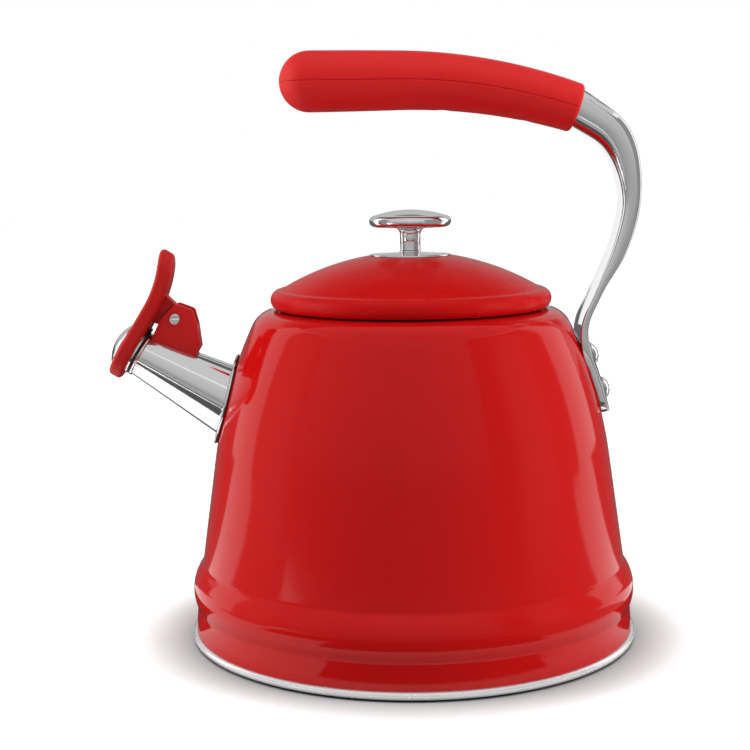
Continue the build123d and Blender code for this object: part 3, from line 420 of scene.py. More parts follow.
class KettleStage(bpy.types.PropertyGroup):
    """Camera and light."""

    distance: length_property("Distance", "How far the camera stands in front of the kettle", 0.67, 3)
    height: length_property("Height", "Height of the camera above the table", 0.20895, 1)
    pitch: angle_property("Pitch", "How far the camera looks down", 0.141631)
    yaw: angle_property("Yaw", "How far the camera looks to the right", -0.023566)
    roll: angle_property("Roll", "Tilt of the horizon", -0.011545)
    view_angle: angle_property("View Angle", "Angle of view across the picture", 0.472538)
    key: FloatProperty(
        name="Key", description="Power of each tall soft box in watts", min=0, max=200, default=12.8
    )
    top: FloatProperty(
        name="Top", description="Power of the overhead soft box in watts", min=0, max=200, default=4.8
    )
    fill: FloatProperty(
        name="Fill", description="Strength of the surrounding light", min=0, max=2, default=0.44
    )


# Outlines


def stepped(first, last, count):
    """Values or points at even steps from the first to the last, with both."""
    return [first + (last - first) * i / count for i in range(count + 1)]


def line(start, end, step):
    """Points along a straight stretch, about a step apart, without its last point."""
    start, end = np.array(start, float), np.array(end, float)
    count = max(1, round(np.linalg.norm(end - start) / step))
    return [start + (end - start) * i / count for i in range(count)]


def arc_through(start, middle, end, step):
    """Points along the circular arc through three points, without its last point."""
    (ax, ay), (bx, by), (cx, cy) = start, middle, end
    d = 2 * (ax * (by - cy) + bx * (cy - ay) + cx * (ay - by))
    a2, b2, c2 = ax * ax + ay * ay, bx * bx + by * by, cx * cx + cy * cy
    ux = (a2 * (by - cy) + b2 * (cy - ay) + c2 * (ay - by)) / d
    uy = (a2 * (cx - bx) + b2 * (ax - cx) + c2 * (bx - ax)) / d
    radius = hypot(ax - ux, ay - uy)
    first = atan2(ay - uy, ax - ux)
    turn_middle = (atan2(by - uy, bx - ux) - first) % (2 * pi)
    turn = (atan2(cy - uy, cx - ux) - first) % (2 * pi)
    if turn_middle > turn:
        turn -= 2 * pi
    count = max(2, round(abs(turn) * radius / step))
    angles = [first + turn * i / count for i in range(count)]
    return [np.array((ux + radius * cos(a), uy + radius * sin(a))) for a in angles]


def arc_tangent(start, heading, end, step):
    """Points along the arc that leaves start in a direction and passes through end, without its last."""
    start, end = np.array(start, float), np.array(end, float)
    ahead = np.array(heading, float) / np.linalg.norm(heading)
    side = np.array((-ahead[1], ahead[0]))
    chord = end - start
    radius = chord.dot(chord) / (2 * side.dot(chord))
    centre = start + side * radius
    half = atan2(chord.dot(side), chord.dot(ahead))
    count = max(2, round(abs(2 * half * radius) / step))
    spoke = start - centre
    points = []
    for i in range(count):
        angle = 2 * half * i / count
        turned_spoke = (
            spoke[0] * cos(angle) - spoke[1] * sin(angle),
            spoke[0] * sin(angle) + spoke[1] * cos(angle),
        )
        points.append(centre + np.array(turned_spoke))
    return points


def softened(points, amount):
    """The same outline with its creases eased over a distance; its two ends stay."""
    points = np.array(points, float)
    lengths = np.linalg.norm(np.diff(points, axis=0), axis=1)
    reach = np.concatenate(([0], np.cumsum(lengths)))
    eased = points.copy()
    window = np.linspace(-1, 1, 9)
    weights = np.cos(window * pi / 2 * 0.95)
    for i in range(1, len(points) - 1):
        at = reach[i] + min(amount, reach[i], reach[-1] - reach[i]) * window
        for k in range(2):
            eased[i, k] = np.average(np.interp(at, reach, points[:, k]), weights=weights)
    return list(eased)


def rounded(corners, radii, steps=5):
    """Closed outline through corners, each cut by an arc of its own radius; zero keeps it sharp."""
    points = []
    count = len(corners)
    for i, radius in enumerate(radii):
        corner = np.array(corners[i], float)
        if not radius:
            points.append(corner)
            continue
        before = np.array(corners[i - 1], float) - corner
        after = np.array(corners[(i + 1) % count], float) - corner
        before /= np.linalg.norm(before)
        after /= np.linalg.norm(after)
        half = np.arccos(np.clip(before.dot(after), -1, 1)) / 2
        reach = radius / tan(half)
        middle = corner + (before + after) / np.linalg.norm(before + after) * radius / sin(half)
        start, end = corner + before * reach, corner + after * reach
        for k in range(steps + 1):
            blend = start + (end - start) * k / steps - middle
            points.append(middle + blend / np.linalg.norm(blend) * radius)
    return points


def smooth_run(points, columns, count):
    """Points and other columns of numbers, interpolated along a smooth run through them."""
    points = np.array(points, float)
    knots = np.concatenate(([0], np.cumsum(np.linalg.norm(np.diff(points, axis=0), axis=1))))
    table = np.column_stack([points, *[np.array(c, float) for c in columns]])
    slopes = np.zeros_like(table)
    slopes[0] = (table[1] - table[0]) / (knots[1] - knots[0])
    slopes[-1] = (table[-1] - table[-2]) / (knots[-1] - knots[-2])
    for i in range(1, len(knots) - 1):
        before = (table[i] - table[i - 1]) / (knots[i] - knots[i - 1])
        after = (table[i + 1] - table[i]) / (knots[i + 1] - knots[i])
        share = (knots[i] - knots[i - 1]) / (knots[i + 1] - knots[i - 1])
        slopes[i] = before * (1 - share) + after * share
    out = []
    for at in np.linspace(0, knots[-1], count):
        i = min(int(np.searchsorted(knots, at, side="right")) - 1, len(knots) - 2)
        h = knots[i + 1] - knots[i]
        t = (at - knots[i]) / h
        start = (2 * t**3 - 3 * t**2 + 1) * table[i] + (t**3 - 2 * t**2 + t) * h * slopes[i]
        end = (3 * t**2 - 2 * t**3) * table[i + 1] + (t**3 - t**2) * h * slopes[i + 1]
        out.append(start + end)
    return np.array(out)


# Meshes


def in_scene(name, data):
    """New object for a mesh, a light or a camera, in the scene."""
    obj = bpy.data.objects.new(name, data)
    bpy.context.scene.collection.objects.link(obj)
    return obj


def shade_edges(mesh, sharp):
    """Smooth shading up to an angle in degrees."""
    mesh.shade_smooth()
    mesh.set_sharp_from_angle(angle=radians(sharp))


def piece(name, points, faces, material, sharp=SHARP):
    """Mesh object from points in millimetres, merged, closed outwards and smooth up to an angle."""
    mesh = bpy.data.meshes.new(name)
    mesh.from_pydata([tuple(c * MM for c in p) for p in points], [], faces)
    work = bmesh.new()
    work.from_mesh(mesh)
    bmesh.ops.remove_doubles(work, verts=work.verts, dist=1e-7)
    bmesh.ops.dissolve_degenerate(work, edges=work.edges, dist=1e-8)
    bmesh.ops.recalc_face_normals(work, faces=work.faces)
    work.to_mesh(mesh)
    work.free()
    return finished(name, mesh, material, sharp)


def finished(name, mesh, material, sharp):
    """Object with a material and smooth shading, in the scene."""
    mesh.materials.clear()
    mesh.materials.append(material)
    shade_edges(mesh, sharp)
    return in_scene(name, mesh)


def applied(obj, sharp):
    """Turns an object's modifiers into plain mesh, smooth up to an angle."""
    bpy.context.view_layer.update()
    graph = bpy.context.evaluated_depsgraph_get()
    mesh = bpy.data.meshes.new_from_object(obj.evaluated_get(graph))
    old = obj.data
    obj.modifiers.clear()
    obj.data = mesh
    mesh.name = obj.name
    if old.users == 0:
        bpy.data.meshes.remove(old)
    shade_edges(mesh, sharp)
    return obj


def cut_by(obj, cutter, sharp):
    """Cuts a closed shape out of a piece and removes the cutter."""
    cut = obj.modifiers.new("cut", "BOOLEAN")
    cut.operation = "DIFFERENCE"
    cut.solver = "EXACT"
    cut.object = cutter
    applied(obj, sharp)
    bpy.data.objects.remove(cutter)


def turned(outline, segments, place=None):
    """Points and faces of a closed outline (radius, height) turned round an axis."""
    points = []
    rings = []
    for radius, height in outline:
        if radius < 1e-6:
            rings.append([len(points)] * segments)
            points.append((0, 0, height))
            continue
        first = len(points)
        rings.append(list(range(first, first + segments)))
        for k in range(segments):
            angle = 2 * pi * k / segments
            points.append((radius * cos(angle), radius * sin(angle), height))
    faces = []
    for i, ring in enumerate(rings):
        other = rings[(i + 1) % len(rings)]
        for k in range(segments):
            n = (k + 1) % segments
            corners = list(dict.fromkeys((ring[k], ring[n], other[n], other[k])))
            if len(corners) > 2:
                faces.append(corners)
    if place is not None:
        points = [tuple(place @ Vector(p)) for p in points]
    return points, faces


def skinned(rings, capped=True):
    """Points and faces of a tube through rings of equal count; its ends are closed by fans."""
    count = len(rings[0])
    points = [tuple(p) for ring in rings for p in ring]
    faces = []
    for i in range(len(rings) - 1):
        for k in range(count):
            n = (k + 1) % count
            faces.append((i * count + k, i * count + n, (i + 1) * count + n, (i + 1) * count + k))
    if capped:
        for ring in (0, len(rings) - 1):
            middle = len(points)
            points.append(tuple(np.mean(np.array(rings[ring]), axis=0)))
            for k in range(count):
                faces.append((ring * count + k, ring * count + (k + 1) % count, middle))
    return points, faces


def joined(*parts):
    """One list of points and faces from several."""
    points, faces = [], []
    for part_points, part_faces in parts:
        shift = len(points)
        points += list(part_points)
        faces += [tuple(i + shift for i in face) for face in part_faces]
    return points, faces


def axis_place(origin, x_dir, y_dir, z_dir):
    """Matrix that puts a local frame at an origin."""
    place = Matrix((x_dir, y_dir, z_dir)).transposed().to_4x4()
    place.translation = origin
    return place


def node_copy(node, name, material, edge=0.0):
    """Copy of a solid's mesh with its flat faces whole again and its edges eased."""
    mesh = frame["nodes"][node].data.copy()
    mesh.name = name
    work = bmesh.new()
    work.from_mesh(mesh)
    bmesh.ops.remove_doubles(work, verts=work.verts, dist=2e-6)
    bmesh.ops.dissolve_limit(
        work, angle_limit=radians(1.0), use_dissolve_boundaries=False, verts=work.verts, edges=work.edges
    )
    work.to_mesh(mesh)
    work.free()
    obj = finished(name, mesh, material, MOULDED_SHARP)
    if edge:
        bevel = obj.modifiers.new("eased", "BEVEL")
        bevel.width = edge
        bevel.segments = 3
        bevel.limit_method = "ANGLE"
        bevel.angle_limit = radians(MOULDED_SHARP)
        bevel.use_clamp_overlap = True
        applied(obj, MOULDED_SHARP)
    return obj


def stands_for(obj, body, slot, *nodes):
    """The piece moves with a body and hides the solids that it stands for; its material slot is not used.
    """
    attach(obj, body)
    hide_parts(*nodes)


# Wall and spout geometry, in millimetres

wall_lean = atan2(BEAD_TOP[0] - WALL_FOOT[0], WALL_FOOT[1] - BEAD_TOP[1])
chord_lean = atan2(WALL_FOOT[0] - SHOULDER[0], SHOULDER[1] - WALL_FOOT[1])
upper_turn = 2 * (chord_lean - wall_lean)
upper_chord = hypot(WALL_FOOT[0] - SHOULDER[0], SHOULDER[1] - WALL_FOOT[1])
upper_arc = upper_chord / (2 * sin(upper_turn / 2))
upper_centre = (WALL_FOOT[0] - upper_arc * cos(wall_lean), WALL_FOOT[1] - upper_arc * sin(wall_lean))
shoulder_lean = wall_lean + upper_turn
shoulder_arc = (TOP_HEIGHT - SHOULDER[1]) / (1 - sin(shoulder_lean))


def wall_point(height, off=0.0):
    """Point off the outside of the wall, on the normal that leaves it at a height."""
    lean = asin((height - upper_centre[1]) / upper_arc)
    reach = upper_arc + off
    return (upper_centre[0] + reach * cos(lean), upper_centre[1] + reach * sin(lean))


def wall_normal(height):
    """Outward direction of the wall at a height, as radius and height."""
    lean = asin((height - upper_centre[1]) / upper_arc)
    return cos(lean), sin(lean)


def on_wall(y, rise, off):
    """Point off the wall on the spout's side, over a spot across (y) and up along it from the spout."""
    normal = wall_normal(SPOUT_HEIGHT)
    radius, level = wall_point(SPOUT_HEIGHT)
    along = np.array((radius - normal[1] * rise, level + normal[0] * rise))
    for _ in range(12):
        spot_radius = hypot(along[0], y)
        reach = hypot(spot_radius - upper_centre[0], along[1] - upper_centre[1])
        along += np.array(normal) * (upper_arc + off - reach)
    return (-along[0], y, along[1])


spout_axis = Vector((-cos(radians(SPOUT_SLOPE)), 0, sin(radians(SPOUT_SLOPE))))
spout_up = Vector((sin(radians(SPOUT_SLOPE)), 0, cos(radians(SPOUT_SLOPE))))
spout_root = Vector((-wall_point(SPOUT_HEIGHT)[0], 0, SPOUT_HEIGHT))
mouth = spout_root + spout_axis * SPOUT_LENGTH
mouth_out = Vector((-cos(radians(MOUTH_SLOPE)), 0, sin(radians(MOUTH_SLOPE))))
mouth_up = Vector((sin(radians(MOUTH_SLOPE)), 0, cos(radians(MOUTH_SLOPE))))
across = Vector((0, -1, 0))
mouth_place = axis_place(mouth, across, mouth_up, mouth_out)
spout_taper = (SPOUT_BASE - SPOUT_MOUTH) / SPOUT_LENGTH
hinge = mouth + mouth_up * HINGE_U + mouth_out * HINGE_V
hinge_place = axis_place(hinge, mouth_up, mouth_out, across)


# Nodes


def feed(tree, value, socket):
    """Links a socket to another one, or sets it to a plain value."""
    if isinstance(value, bpy.types.NodeSocket):
        tree.links.new(value, socket)
    else:
        socket.default_value = value


def node(tree, kind, settings=None, **inputs):
    """New node with its settings; its inputs are sockets or plain values, with _ for each space."""
    made = tree.nodes.new(kind)
    for name, value in (settings or {}).items():
        setattr(made, name, value)
    for label, value in inputs.items():
        feed(tree, value, made.inputs[label.replace("_", " ")])
    return made


def math_node(tree, kind, *values):
    """Result of a sum on sockets or plain numbers."""
    made = node(tree, "ShaderNodeMath", {"operation": kind})
    for value, socket in zip(values, made.inputs):
        feed(tree, value, socket)
    return made.outputs[0]


def ranged(tree, value, kind="LINEAR", **limits):
    """Maps a value from one stretch to another; limits go by the names of the node's sockets."""
    settings = {"interpolation_type": kind}
    return node(tree, "ShaderNodeMapRange", settings, Value=value, **limits).outputs["Result"]


def noise(tree, vector, scale, detail, rough=0.5):
    """Noise over a vector."""
    made = node(tree, "ShaderNodeTexNoise", Vector=vector, Scale=scale, Detail=detail, Roughness=rough)
    return made.outputs["Fac"]


def group(name, inputs, output, kind="ShaderNodeTree"):
    """New node group: its tree, what it is given and its result, by name.

    An input is a plain number, or the kind of its socket. The output is a name and a kind.
    """
    tree = bpy.data.node_groups.new(name, kind)
    for label, value in inputs.items():
        plain = isinstance(value, float)
        socket_type = "NodeSocketFloat" if plain else f"NodeSocket{value}"
        socket = tree.interface.new_socket(label, in_out="INPUT", socket_type=socket_type)
        if plain:
            socket.default_value = value
    tree.interface.new_socket(output[0], in_out="OUTPUT", socket_type=f"NodeSocket{output[1]}")
    given = tree.nodes.new("NodeGroupInput").outputs
    result = tree.nodes.new("NodeGroupOutput").inputs
    return tree, given, result


def handling_group():
    """Faint wiped patches: roughness that drifts between two values."""
    inputs = {"Vector": "Vector", "Scale": 30.0, "Low": 0.1, "High": 0.2}
    tree, given, result = group("handling", inputs, ("Roughness", "Float"))
    patches = noise(tree, given["Vector"], given["Scale"], 6.0, 0.6)
    rough = ranged(tree, patches, **NOISE_MIDDLE, To_Min=given["Low"], To_Max=given["High"])
    tree.links.new(rough, result["Roughness"])
    return tree


def drift_group():
    """Slow change of tone over a surface."""
    inputs = {"Vector": "Vector", "Scale": 12.0, "Deep": "Color", "Light": "Color"}
    tree, given, result = group("tone_drift", inputs, ("Color", "Color"))
    cloud = noise(tree, given["Vector"], given["Scale"], 3.0)
    tones = {"A": given["Deep"], "B": given["Light"]}
    blend = node(tree, "ShaderNodeMix", {"data_type": "RGBA"}, Factor=cloud, **tones)
    tree.links.new(blend.outputs["Result"], result["Color"])
    return tree


def grain_group():
    """Fine and coarse grain as one height."""
    inputs = {"Vector": "Vector", "Fine": 3000.0, "Coarse": 300.0, "Share": 0.5}
    tree, given, result = group("grain", inputs, ("Height", "Float"))
    fine = noise(tree, given["Vector"], given["Fine"], 2.0)
    coarse = noise(tree, given["Vector"], given["Coarse"], 2.0)
    weighed = math_node(tree, "MULTIPLY", coarse, given["Share"])
    tree.links.new(math_node(tree, "ADD", fine, weighed), result["Height"])
    return tree


def lathe_group():
    """Fine lines left round an upright axis by turning or brushing."""
    tree, given, result = group("turned_lines", {"Vector": "Vector", "Scale": 2500.0}, ("Height", "Float"))
    apart = node(tree, "ShaderNodeSeparateXYZ", Vector=given["Vector"]).outputs
    x2 = math_node(tree, "MULTIPLY", apart["X"], apart["X"])
    y2 = math_node(tree, "MULTIPLY", apart["Y"], apart["Y"])
    radius = math_node(tree, "SQRT", math_node(tree, "ADD", x2, y2))
    both = node(tree, "ShaderNodeCombineXYZ", X=radius, Z=apart["Z"])
    tree.links.new(noise(tree, both.outputs[0], given["Scale"], 3.0), result["Height"])
    return tree


# Materials


class Shader:
    """One material under construction: its tree, its coordinates and its Principled shader."""

    def __init__(self, name):
        self.material = bpy.data.materials.new(f"look_{name}")
        self.material.use_nodes = True
        self.tree = self.material.node_tree
        self.shader = self.tree.nodes["Principled BSDF"]
        self.place = self.tree.nodes.new("ShaderNodeTexCoord").outputs["Object"]

    def put(self, tree, **values):
        """Places a node group on the object's coordinates, with its own values."""
        held = {"node_tree": tree}
        return node(self.tree, "ShaderNodeGroup", held, Vector=self.place, **values).outputs[0]

    def give(self, **values):
        """Feeds the shader's own inputs, with _ for each space."""
        for label, value in values.items():
            feed(self.tree, value, self.shader.inputs[label.replace("_", " ")])


def shade(color, factor):
    """A colour, darker or lighter, with alpha."""
    return (*(min(1.0, c * factor) for c in color), 1.0)


finishes = {}


def make_finishes(look):
    """All materials of the kettle, by name."""
    handling, drift, grain, lines = handling_group(), drift_group(), grain_group(), lathe_group()
    fired = (grain, {"Fine": 900.0, "Coarse": 160.0, "Share": 0.8})
    moulded = (grain, {"Fine": 5200.0, "Coarse": 1400.0, "Share": 0.6})
    buffed = (grain, {"Fine": 1500.0, "Coarse": 240.0, "Share": 1.0})
    cast = (grain, {"Fine": 4200.0, "Coarse": 900.0, "Share": 0.5})
    brushed, spun = (lines, {"Scale": 2600.0}), (lines, {"Scale": 1500.0})

    def finish(name, color, tones, clouds, patches, rough, surface, strength, depth, **plain):
        """One material: tones that drift in clouds, roughness in patches, and a fine surface."""
        made = Shader(name)
        deep, light = (shade(color, factor) for factor in tones)
        tree, values = surface
        height = made.put(tree, **values)
        bump = node(made.tree, "ShaderNodeBump", Strength=strength, Distance=depth, Height=height)
        made.give(
            Base_Color=made.put(drift, Scale=clouds, Deep=deep, Light=light),
            Roughness=made.put(handling, Scale=patches, Low=rough[0], High=rough[1]),
            Normal=bump.outputs["Normal"],
            **plain,
        )
        finishes[name] = made.material

    for name, rough, ior, ripple in (
        ("red_enamel", look.enamel_roughness, 1.3, 0.05),
        ("lid_enamel", look.lid_roughness, 1.16, 0.015),
    ):
        finish(
            name, look.enamel, tones=(0.97, 1.03), clouds=9.0, patches=26.0,
            rough=(rough * 0.85, rough * 1.15), surface=fired, strength=ripple, depth=0.00006, IOR=ior,
        )
    rough = look.moulding_roughness
    # The bracket, lever and grip are one red plastic; the bracket's and the grip's colours are painted
    # lighter than the lever's, standing in for the light that falls on them
    colors = {"red_moulding": look.moulding_painted_lighter, "red_lever": look.lever, "red_grip": look.grip}
    for name, color in colors.items():
        finish(
            name, color, tones=(0.94, 1.06), clouds=16.0, patches=45.0,
            rough=(rough * 0.88, rough * 1.12), surface=moulded, strength=0.18, depth=0.00008, IOR=1.28,
        )
    finish(
        "polished_steel", look.steel, tones=(0.97, 1.03), clouds=20.0, patches=60.0,
        rough=(0.05, 0.1), surface=buffed, strength=0.03, depth=0.00004, Metallic=1.0,
    )
    finish(
        "brushed_steel", look.steel, tones=(0.86, 0.96), clouds=14.0, patches=40.0,
        rough=(0.2, 0.3), surface=brushed, strength=0.14, depth=0.00005, Metallic=1.0,
    )
    finish(
        "rim_steel", look.steel, tones=(1.04, 1.12), clouds=14.0, patches=40.0,
        rough=(0.22, 0.32), surface=spun, strength=0.04, depth=0.00004, Metallic=0.7,
    )
    finish(
        "spun_aluminium", look.steel, tones=(0.82, 0.9), clouds=14.0, patches=40.0,
        rough=(0.36, 0.46), surface=spun, strength=0.25, depth=0.00006, Metallic=1.0,
    )
    finish(
        "black_rubber", look.rubber, tones=(0.8, 1.3), clouds=60.0, patches=80.0,
        rough=(0.5, 0.64), surface=cast, strength=0.2, depth=0.00008,
    )


# Geometry nodes


def painted(tree, shape, material, result):
    """Ends a tree: its instances become real and take the material."""
    real = node(tree, "GeometryNodeRealizeInstances", Geometry=shape)
    paint = node(tree, "GeometryNodeSetMaterial", Geometry=real.outputs["Geometry"], Material=material)
    tree.links.new(paint.outputs["Geometry"], result["Geometry"])
    return tree


def repeat_tree():
    """Tree that stands one shape on each point of a mesh, turned to the point's own direction."""
    inputs = {"Geometry": "Geometry", "Shape": "Object", "Material": "Material", "Size": 1.0}
    tree, given, result = group("repeat_on_points", inputs, ("Geometry", "Geometry"), "GeometryNodeTree")
    shape = node(tree, "GeometryNodeObjectInfo", Object=given["Shape"])
    named = node(tree, "GeometryNodeInputNamedAttribute", {"data_type": "FLOAT_VECTOR"}, Name="facing")
    facing = named.outputs["Attribute"]
    align = node(tree, "FunctionNodeAlignRotationToVector", {"axis": "Z"}, Vector=facing)
    stand = node(
        tree,
        "GeometryNodeInstanceOnPoints",
        Points=given["Geometry"],
        Instance=shape.outputs["Geometry"],
        Rotation=align.outputs["Rotation"],
        Scale=given["Size"],
    )
    return painted(tree, stand.outputs["Instances"], given["Material"], result)


def wire_tree():
    """Tree that draws a round wire along a line of edges."""
    inputs = {"Geometry": "Geometry", "Radius": WIRE_RADIUS * MM, "Material": "Material"}
    tree, given, result = group("wire_along_line", inputs, ("Geometry", "Geometry"), "GeometryNodeTree")
    path = node(tree, "GeometryNodeMeshToCurve", Mesh=given["Geometry"])
    ring = node(tree, "GeometryNodeCurvePrimitiveCircle", Resolution=WIRE_SIDES, Radius=given["Radius"])
    solid = node(
        tree,
        "GeometryNodeCurveToMesh",
        Curve=path.outputs["Curve"],
        Profile_Curve=ring.outputs["Curve"],
        Fill_Caps=True,
    )
    return painted(tree, solid.outputs["Mesh"], given["Material"], result)


def grown(obj, tree, sharp, **values):
    """Runs a node tree on an object and keeps the result as plain mesh."""
    modifier = obj.modifiers.new(tree.name, "NODES")
    modifier.node_group = tree
    for item in tree.interface.items_tree:
        if item.in_out == "INPUT" and item.name in values:
            modifier[item.identifier] = values[item.name]
    return applied(obj, sharp)


def repeated(name, shape, spots, material):
    """One shape stood on several spots, each a place and a direction in millimetres."""
    mesh = bpy.data.meshes.new(name)
    mesh.from_pydata([tuple(c * MM for c in place) for place, _ in spots], [], [])
    facing = mesh.attributes.new("facing", "FLOAT_VECTOR", "POINT")
    facing.data.foreach_set("vector", [c for _, direction in spots for c in direction])
    obj = in_scene(name, mesh)
    grown(obj, repeat_tree(), SHARP, Shape=shape, Material=material)
    bpy.data.objects.remove(shape)
    return obj


# Pieces


class KettleOperator(bpy.types.Operator):
    """Shared settings of the kettle's operators."""

    bl_options = {"REGISTER", "UNDO"}

    @property
    def shape(self):
        return bpy.context.scene.kettle_shape

    def lathe(self, name, outline, finish, sharp=TURNED_SHARP):
        """Piece turned round the kettle's upright axis."""
        return piece(name, *turned(outline, self.shape.segments), finishes[finish], sharp)


class KETTLE_OT_finishes(KettleOperator):
    """Make the materials and put them on the solids that stay as they are"""

    bl_idname = "kettle.finishes"
    bl_label = "Finishes"

    def execute(self, context):
        make_finishes(context.scene.kettle_finish)
        for subpart in frame["record"]["subparts"]:
            for held in frame["nodes"][subpart["node"]].material_slots:
                held.material = finishes[SLOT_FINISHES[subpart["material_slot"]]]
        return {"FINISHED"}


def sheet(face, wall, steps, crease):
    """Closed outline of a sheet: its outside and back along its inside, with eased creases."""
    outside = softened(face(0, steps[0]), crease)
    inside = softened(face(wall, steps[1]), crease)
    return outside + inside[::-1]


def body_outline(inset, step):
    """One face of the body sheet, from the skirt to the end of the neck."""
    shift = np.array((inset, 0))
    skirt, crease, bead, bead_top = (np.array(p) - shift for p in (SKIRT, CREASE, BEAD, BEAD_TOP))
    heights = stepped(WALL_FOOT[1], SHOULDER[1], WALL_STEPS)
    upper = [np.array(wall_point(height, -inset)) for height in heights]
    reach = shoulder_arc - inset
    crown_centre = upper[-1] - np.array(wall_normal(SHOULDER[1])) * reach
    crown = []
    for angle in stepped(shoulder_lean, pi / 2, SHOULDER_STEPS)[1:]:
        crown.append(crown_centre + np.array((cos(angle), sin(angle))) * reach)
    bend = NECK_BEND - inset
    bend_start = (NECK_RADIUS + NECK_BEND, TOP_HEIGHT - inset)
    bend_end = (NECK_RADIUS + inset, TOP_HEIGHT - NECK_BEND)
    bend_middle = (bend_start[0] - bend * sin(pi / 4), bend_end[1] + bend * sin(pi / 4))
    end = (NECK_RADIUS + inset, TOP_HEIGHT - NECK_DEPTH)
    points = line(skirt, crease, step)
    points += arc_through(crease, bead, bead_top, step)
    points += line(bead_top, upper[0], step)
    points += upper + crown + line(crown[-1], bend_start, 2 * step)[1:]
    points += arc_through(bend_start, bend_middle, bend_end, step / 3)
    points += line(bend_end, end, 2 * step) + [np.array(end)]
    return points


def spout_plug(segments):
    """Cone that cuts the spout's hole through the wall."""
    near, far = -SPOUT_HOLE_HALF, SPOUT_HOLE_HALF
    outline = (
        (0, near), (SPOUT_BASE - spout_taper * near + SPOUT_HOLE_GAP, near),
        (SPOUT_BASE - spout_taper * far + SPOUT_HOLE_GAP, far), (0, far),
    )
    place = axis_place(spout_root, across, spout_up, spout_axis)
    return piece("spout_plug", *turned(outline, segments // 2, place), finishes["red_enamel"])


class KETTLE_OT_body(KettleOperator):
    """Make the enamelled body sheet with its bead, shoulder and filling neck"""

    bl_idname = "kettle.body"
    bl_label = "Body"

    def execute(self, context):
        outline = sheet(body_outline, WALL, SHEET_STEPS, self.shape.crease / MM)
        obj = self.lathe("body_sheet", outline, "red_enamel", SHEET_SHARP)
        cut_by(obj, spout_plug(self.shape.segments), SHEET_SHARP)
        stands_for(obj, "kettle", "red_enamel", "body_shell")
        return {"FINISHED"}


class KETTLE_OT_base(KettleOperator):
    """Make the steel base: rolled rim, floor and the plate that stands on the hob"""

    bl_idname = "kettle.base"
    bl_label = "Base"

    def execute(self, context):
        lap, bore = LAP_RADIUS, LAP_RADIUS - PAN_WALL
        pan = (
            (0, FLOOR_LOW), (RIM_INNER, FLOOR_LOW), (RIM_INNER, RIM_BOTTOM), (RIM_RADIUS, RIM_BOTTOM),
            (RIM_RADIUS, RIM_TOP), (lap, RIM_TOP), (lap, LAP_HEIGHT), (bore, LAP_HEIGHT),
            (bore, FLOOR_HIGH), (0, FLOOR_HIGH),
        )
        obj = self.lathe("base_rim", rounded(pan, PAN_ROUNDS), "rim_steel")
        stands_for(obj, "kettle", "steel", "base_pan")
        bore = PLATE_RADIUS - PLATE_WALL
        plate = (
            (0, 0), (PLATE_RADIUS, 0), (PLATE_RADIUS, FLOOR_LOW), (bore, FLOOR_LOW),
            (bore, PLATE_WALL), (0, PLATE_WALL),
        )
        obj = self.lathe("hob_plate", rounded(plate, PLATE_ROUNDS), "brushed_steel")
        stands_for(obj, "kettle", "steel", "induction_plate")
        return {"FINISHED"}


def cover_outline(inset, step):
    """One face of the lid sheet, from its screw hole to the end of the rolled edge."""
    low = LID_SEAT[0] ** 2 + LID_SEAT[1] ** 2 - LID_VALLEY[0] ** 2 - LID_VALLEY[1] ** 2
    centre = low / (2 * (LID_SEAT[1] - LID_VALLEY[1]))
    sphere = hypot(LID_SEAT[0], LID_SEAT[1] - centre)
    reach = sphere - inset
    seat = (sqrt(reach**2 - (LID_SEAT[1] - inset - centre) ** 2), LID_SEAT[1] - inset)
    valley = (LID_VALLEY[0] * reach / sphere, centre + (LID_VALLEY[1] - centre) * reach / sphere)
    half = (seat[0] + valley[0]) / 2
    middle = (half, centre + sqrt(reach**2 - half**2))
    end = (LID_END[0] - inset, LID_END[1])
    points = line((LID_HOLE, LID_SEAT[1] - inset), seat, 2 * step)
    points += arc_through(seat, middle, valley, step)
    points += arc_through(valley, (LID_ROLL[0] - inset, LID_ROLL[1]), end, step / 2)
    return points + [np.array(end)]


class KETTLE_OT_lid(KettleOperator):
    """Make the lid: domed cover with a rolled edge, plug ring and seal"""

    bl_idname = "kettle.lid"
    bl_label = "Lid"

    def execute(self, context):
        outline = sheet(cover_outline, LID_WALL, COVER_STEPS, self.shape.crease / MM)
        obj = self.lathe("lid_cover", outline, "lid_enamel", SHEET_SHARP)
        stands_for(obj, "lid", "red_enamel", "lid_shell")
        plug = SEAL_RADIUS - SEAL_THICKNESS
        end = SEAL_LOW - SEAL_DEPTH
        flange = SEAL_LOW + SEAL_THICKNESS
        seal = (
            (plug, end), (SEAL_RADIUS, end), (SEAL_RADIUS, SEAL_LOW),
            (SEAL_FLANGE, SEAL_LOW), (SEAL_FLANGE, flange), (plug, flange),
        )
        obj = self.lathe("plug_seal", rounded(seal, SEAL_ROUNDS), "black_rubber")
        stands_for(obj, "lid", "black_rubber", "lid_seal")
        outer = plug - SEAT_GAP
        inner = outer - LINER_WALL
        end = SEAL_LOW - LINER_DEPTH
        low = flange + SEAT_GAP
        high = low + LINER_WALL
        liner = (
            (outer, end), (outer, low), (LINER_FLANGE, low),
            (LINER_FLANGE, high), (inner, high), (inner, end),
        )
        obj = self.lathe("plug_ring", rounded(liner, LINER_ROUNDS), "brushed_steel")
        stands_for(obj, "lid", "steel", "lid_liner")
        return {"FINISHED"}


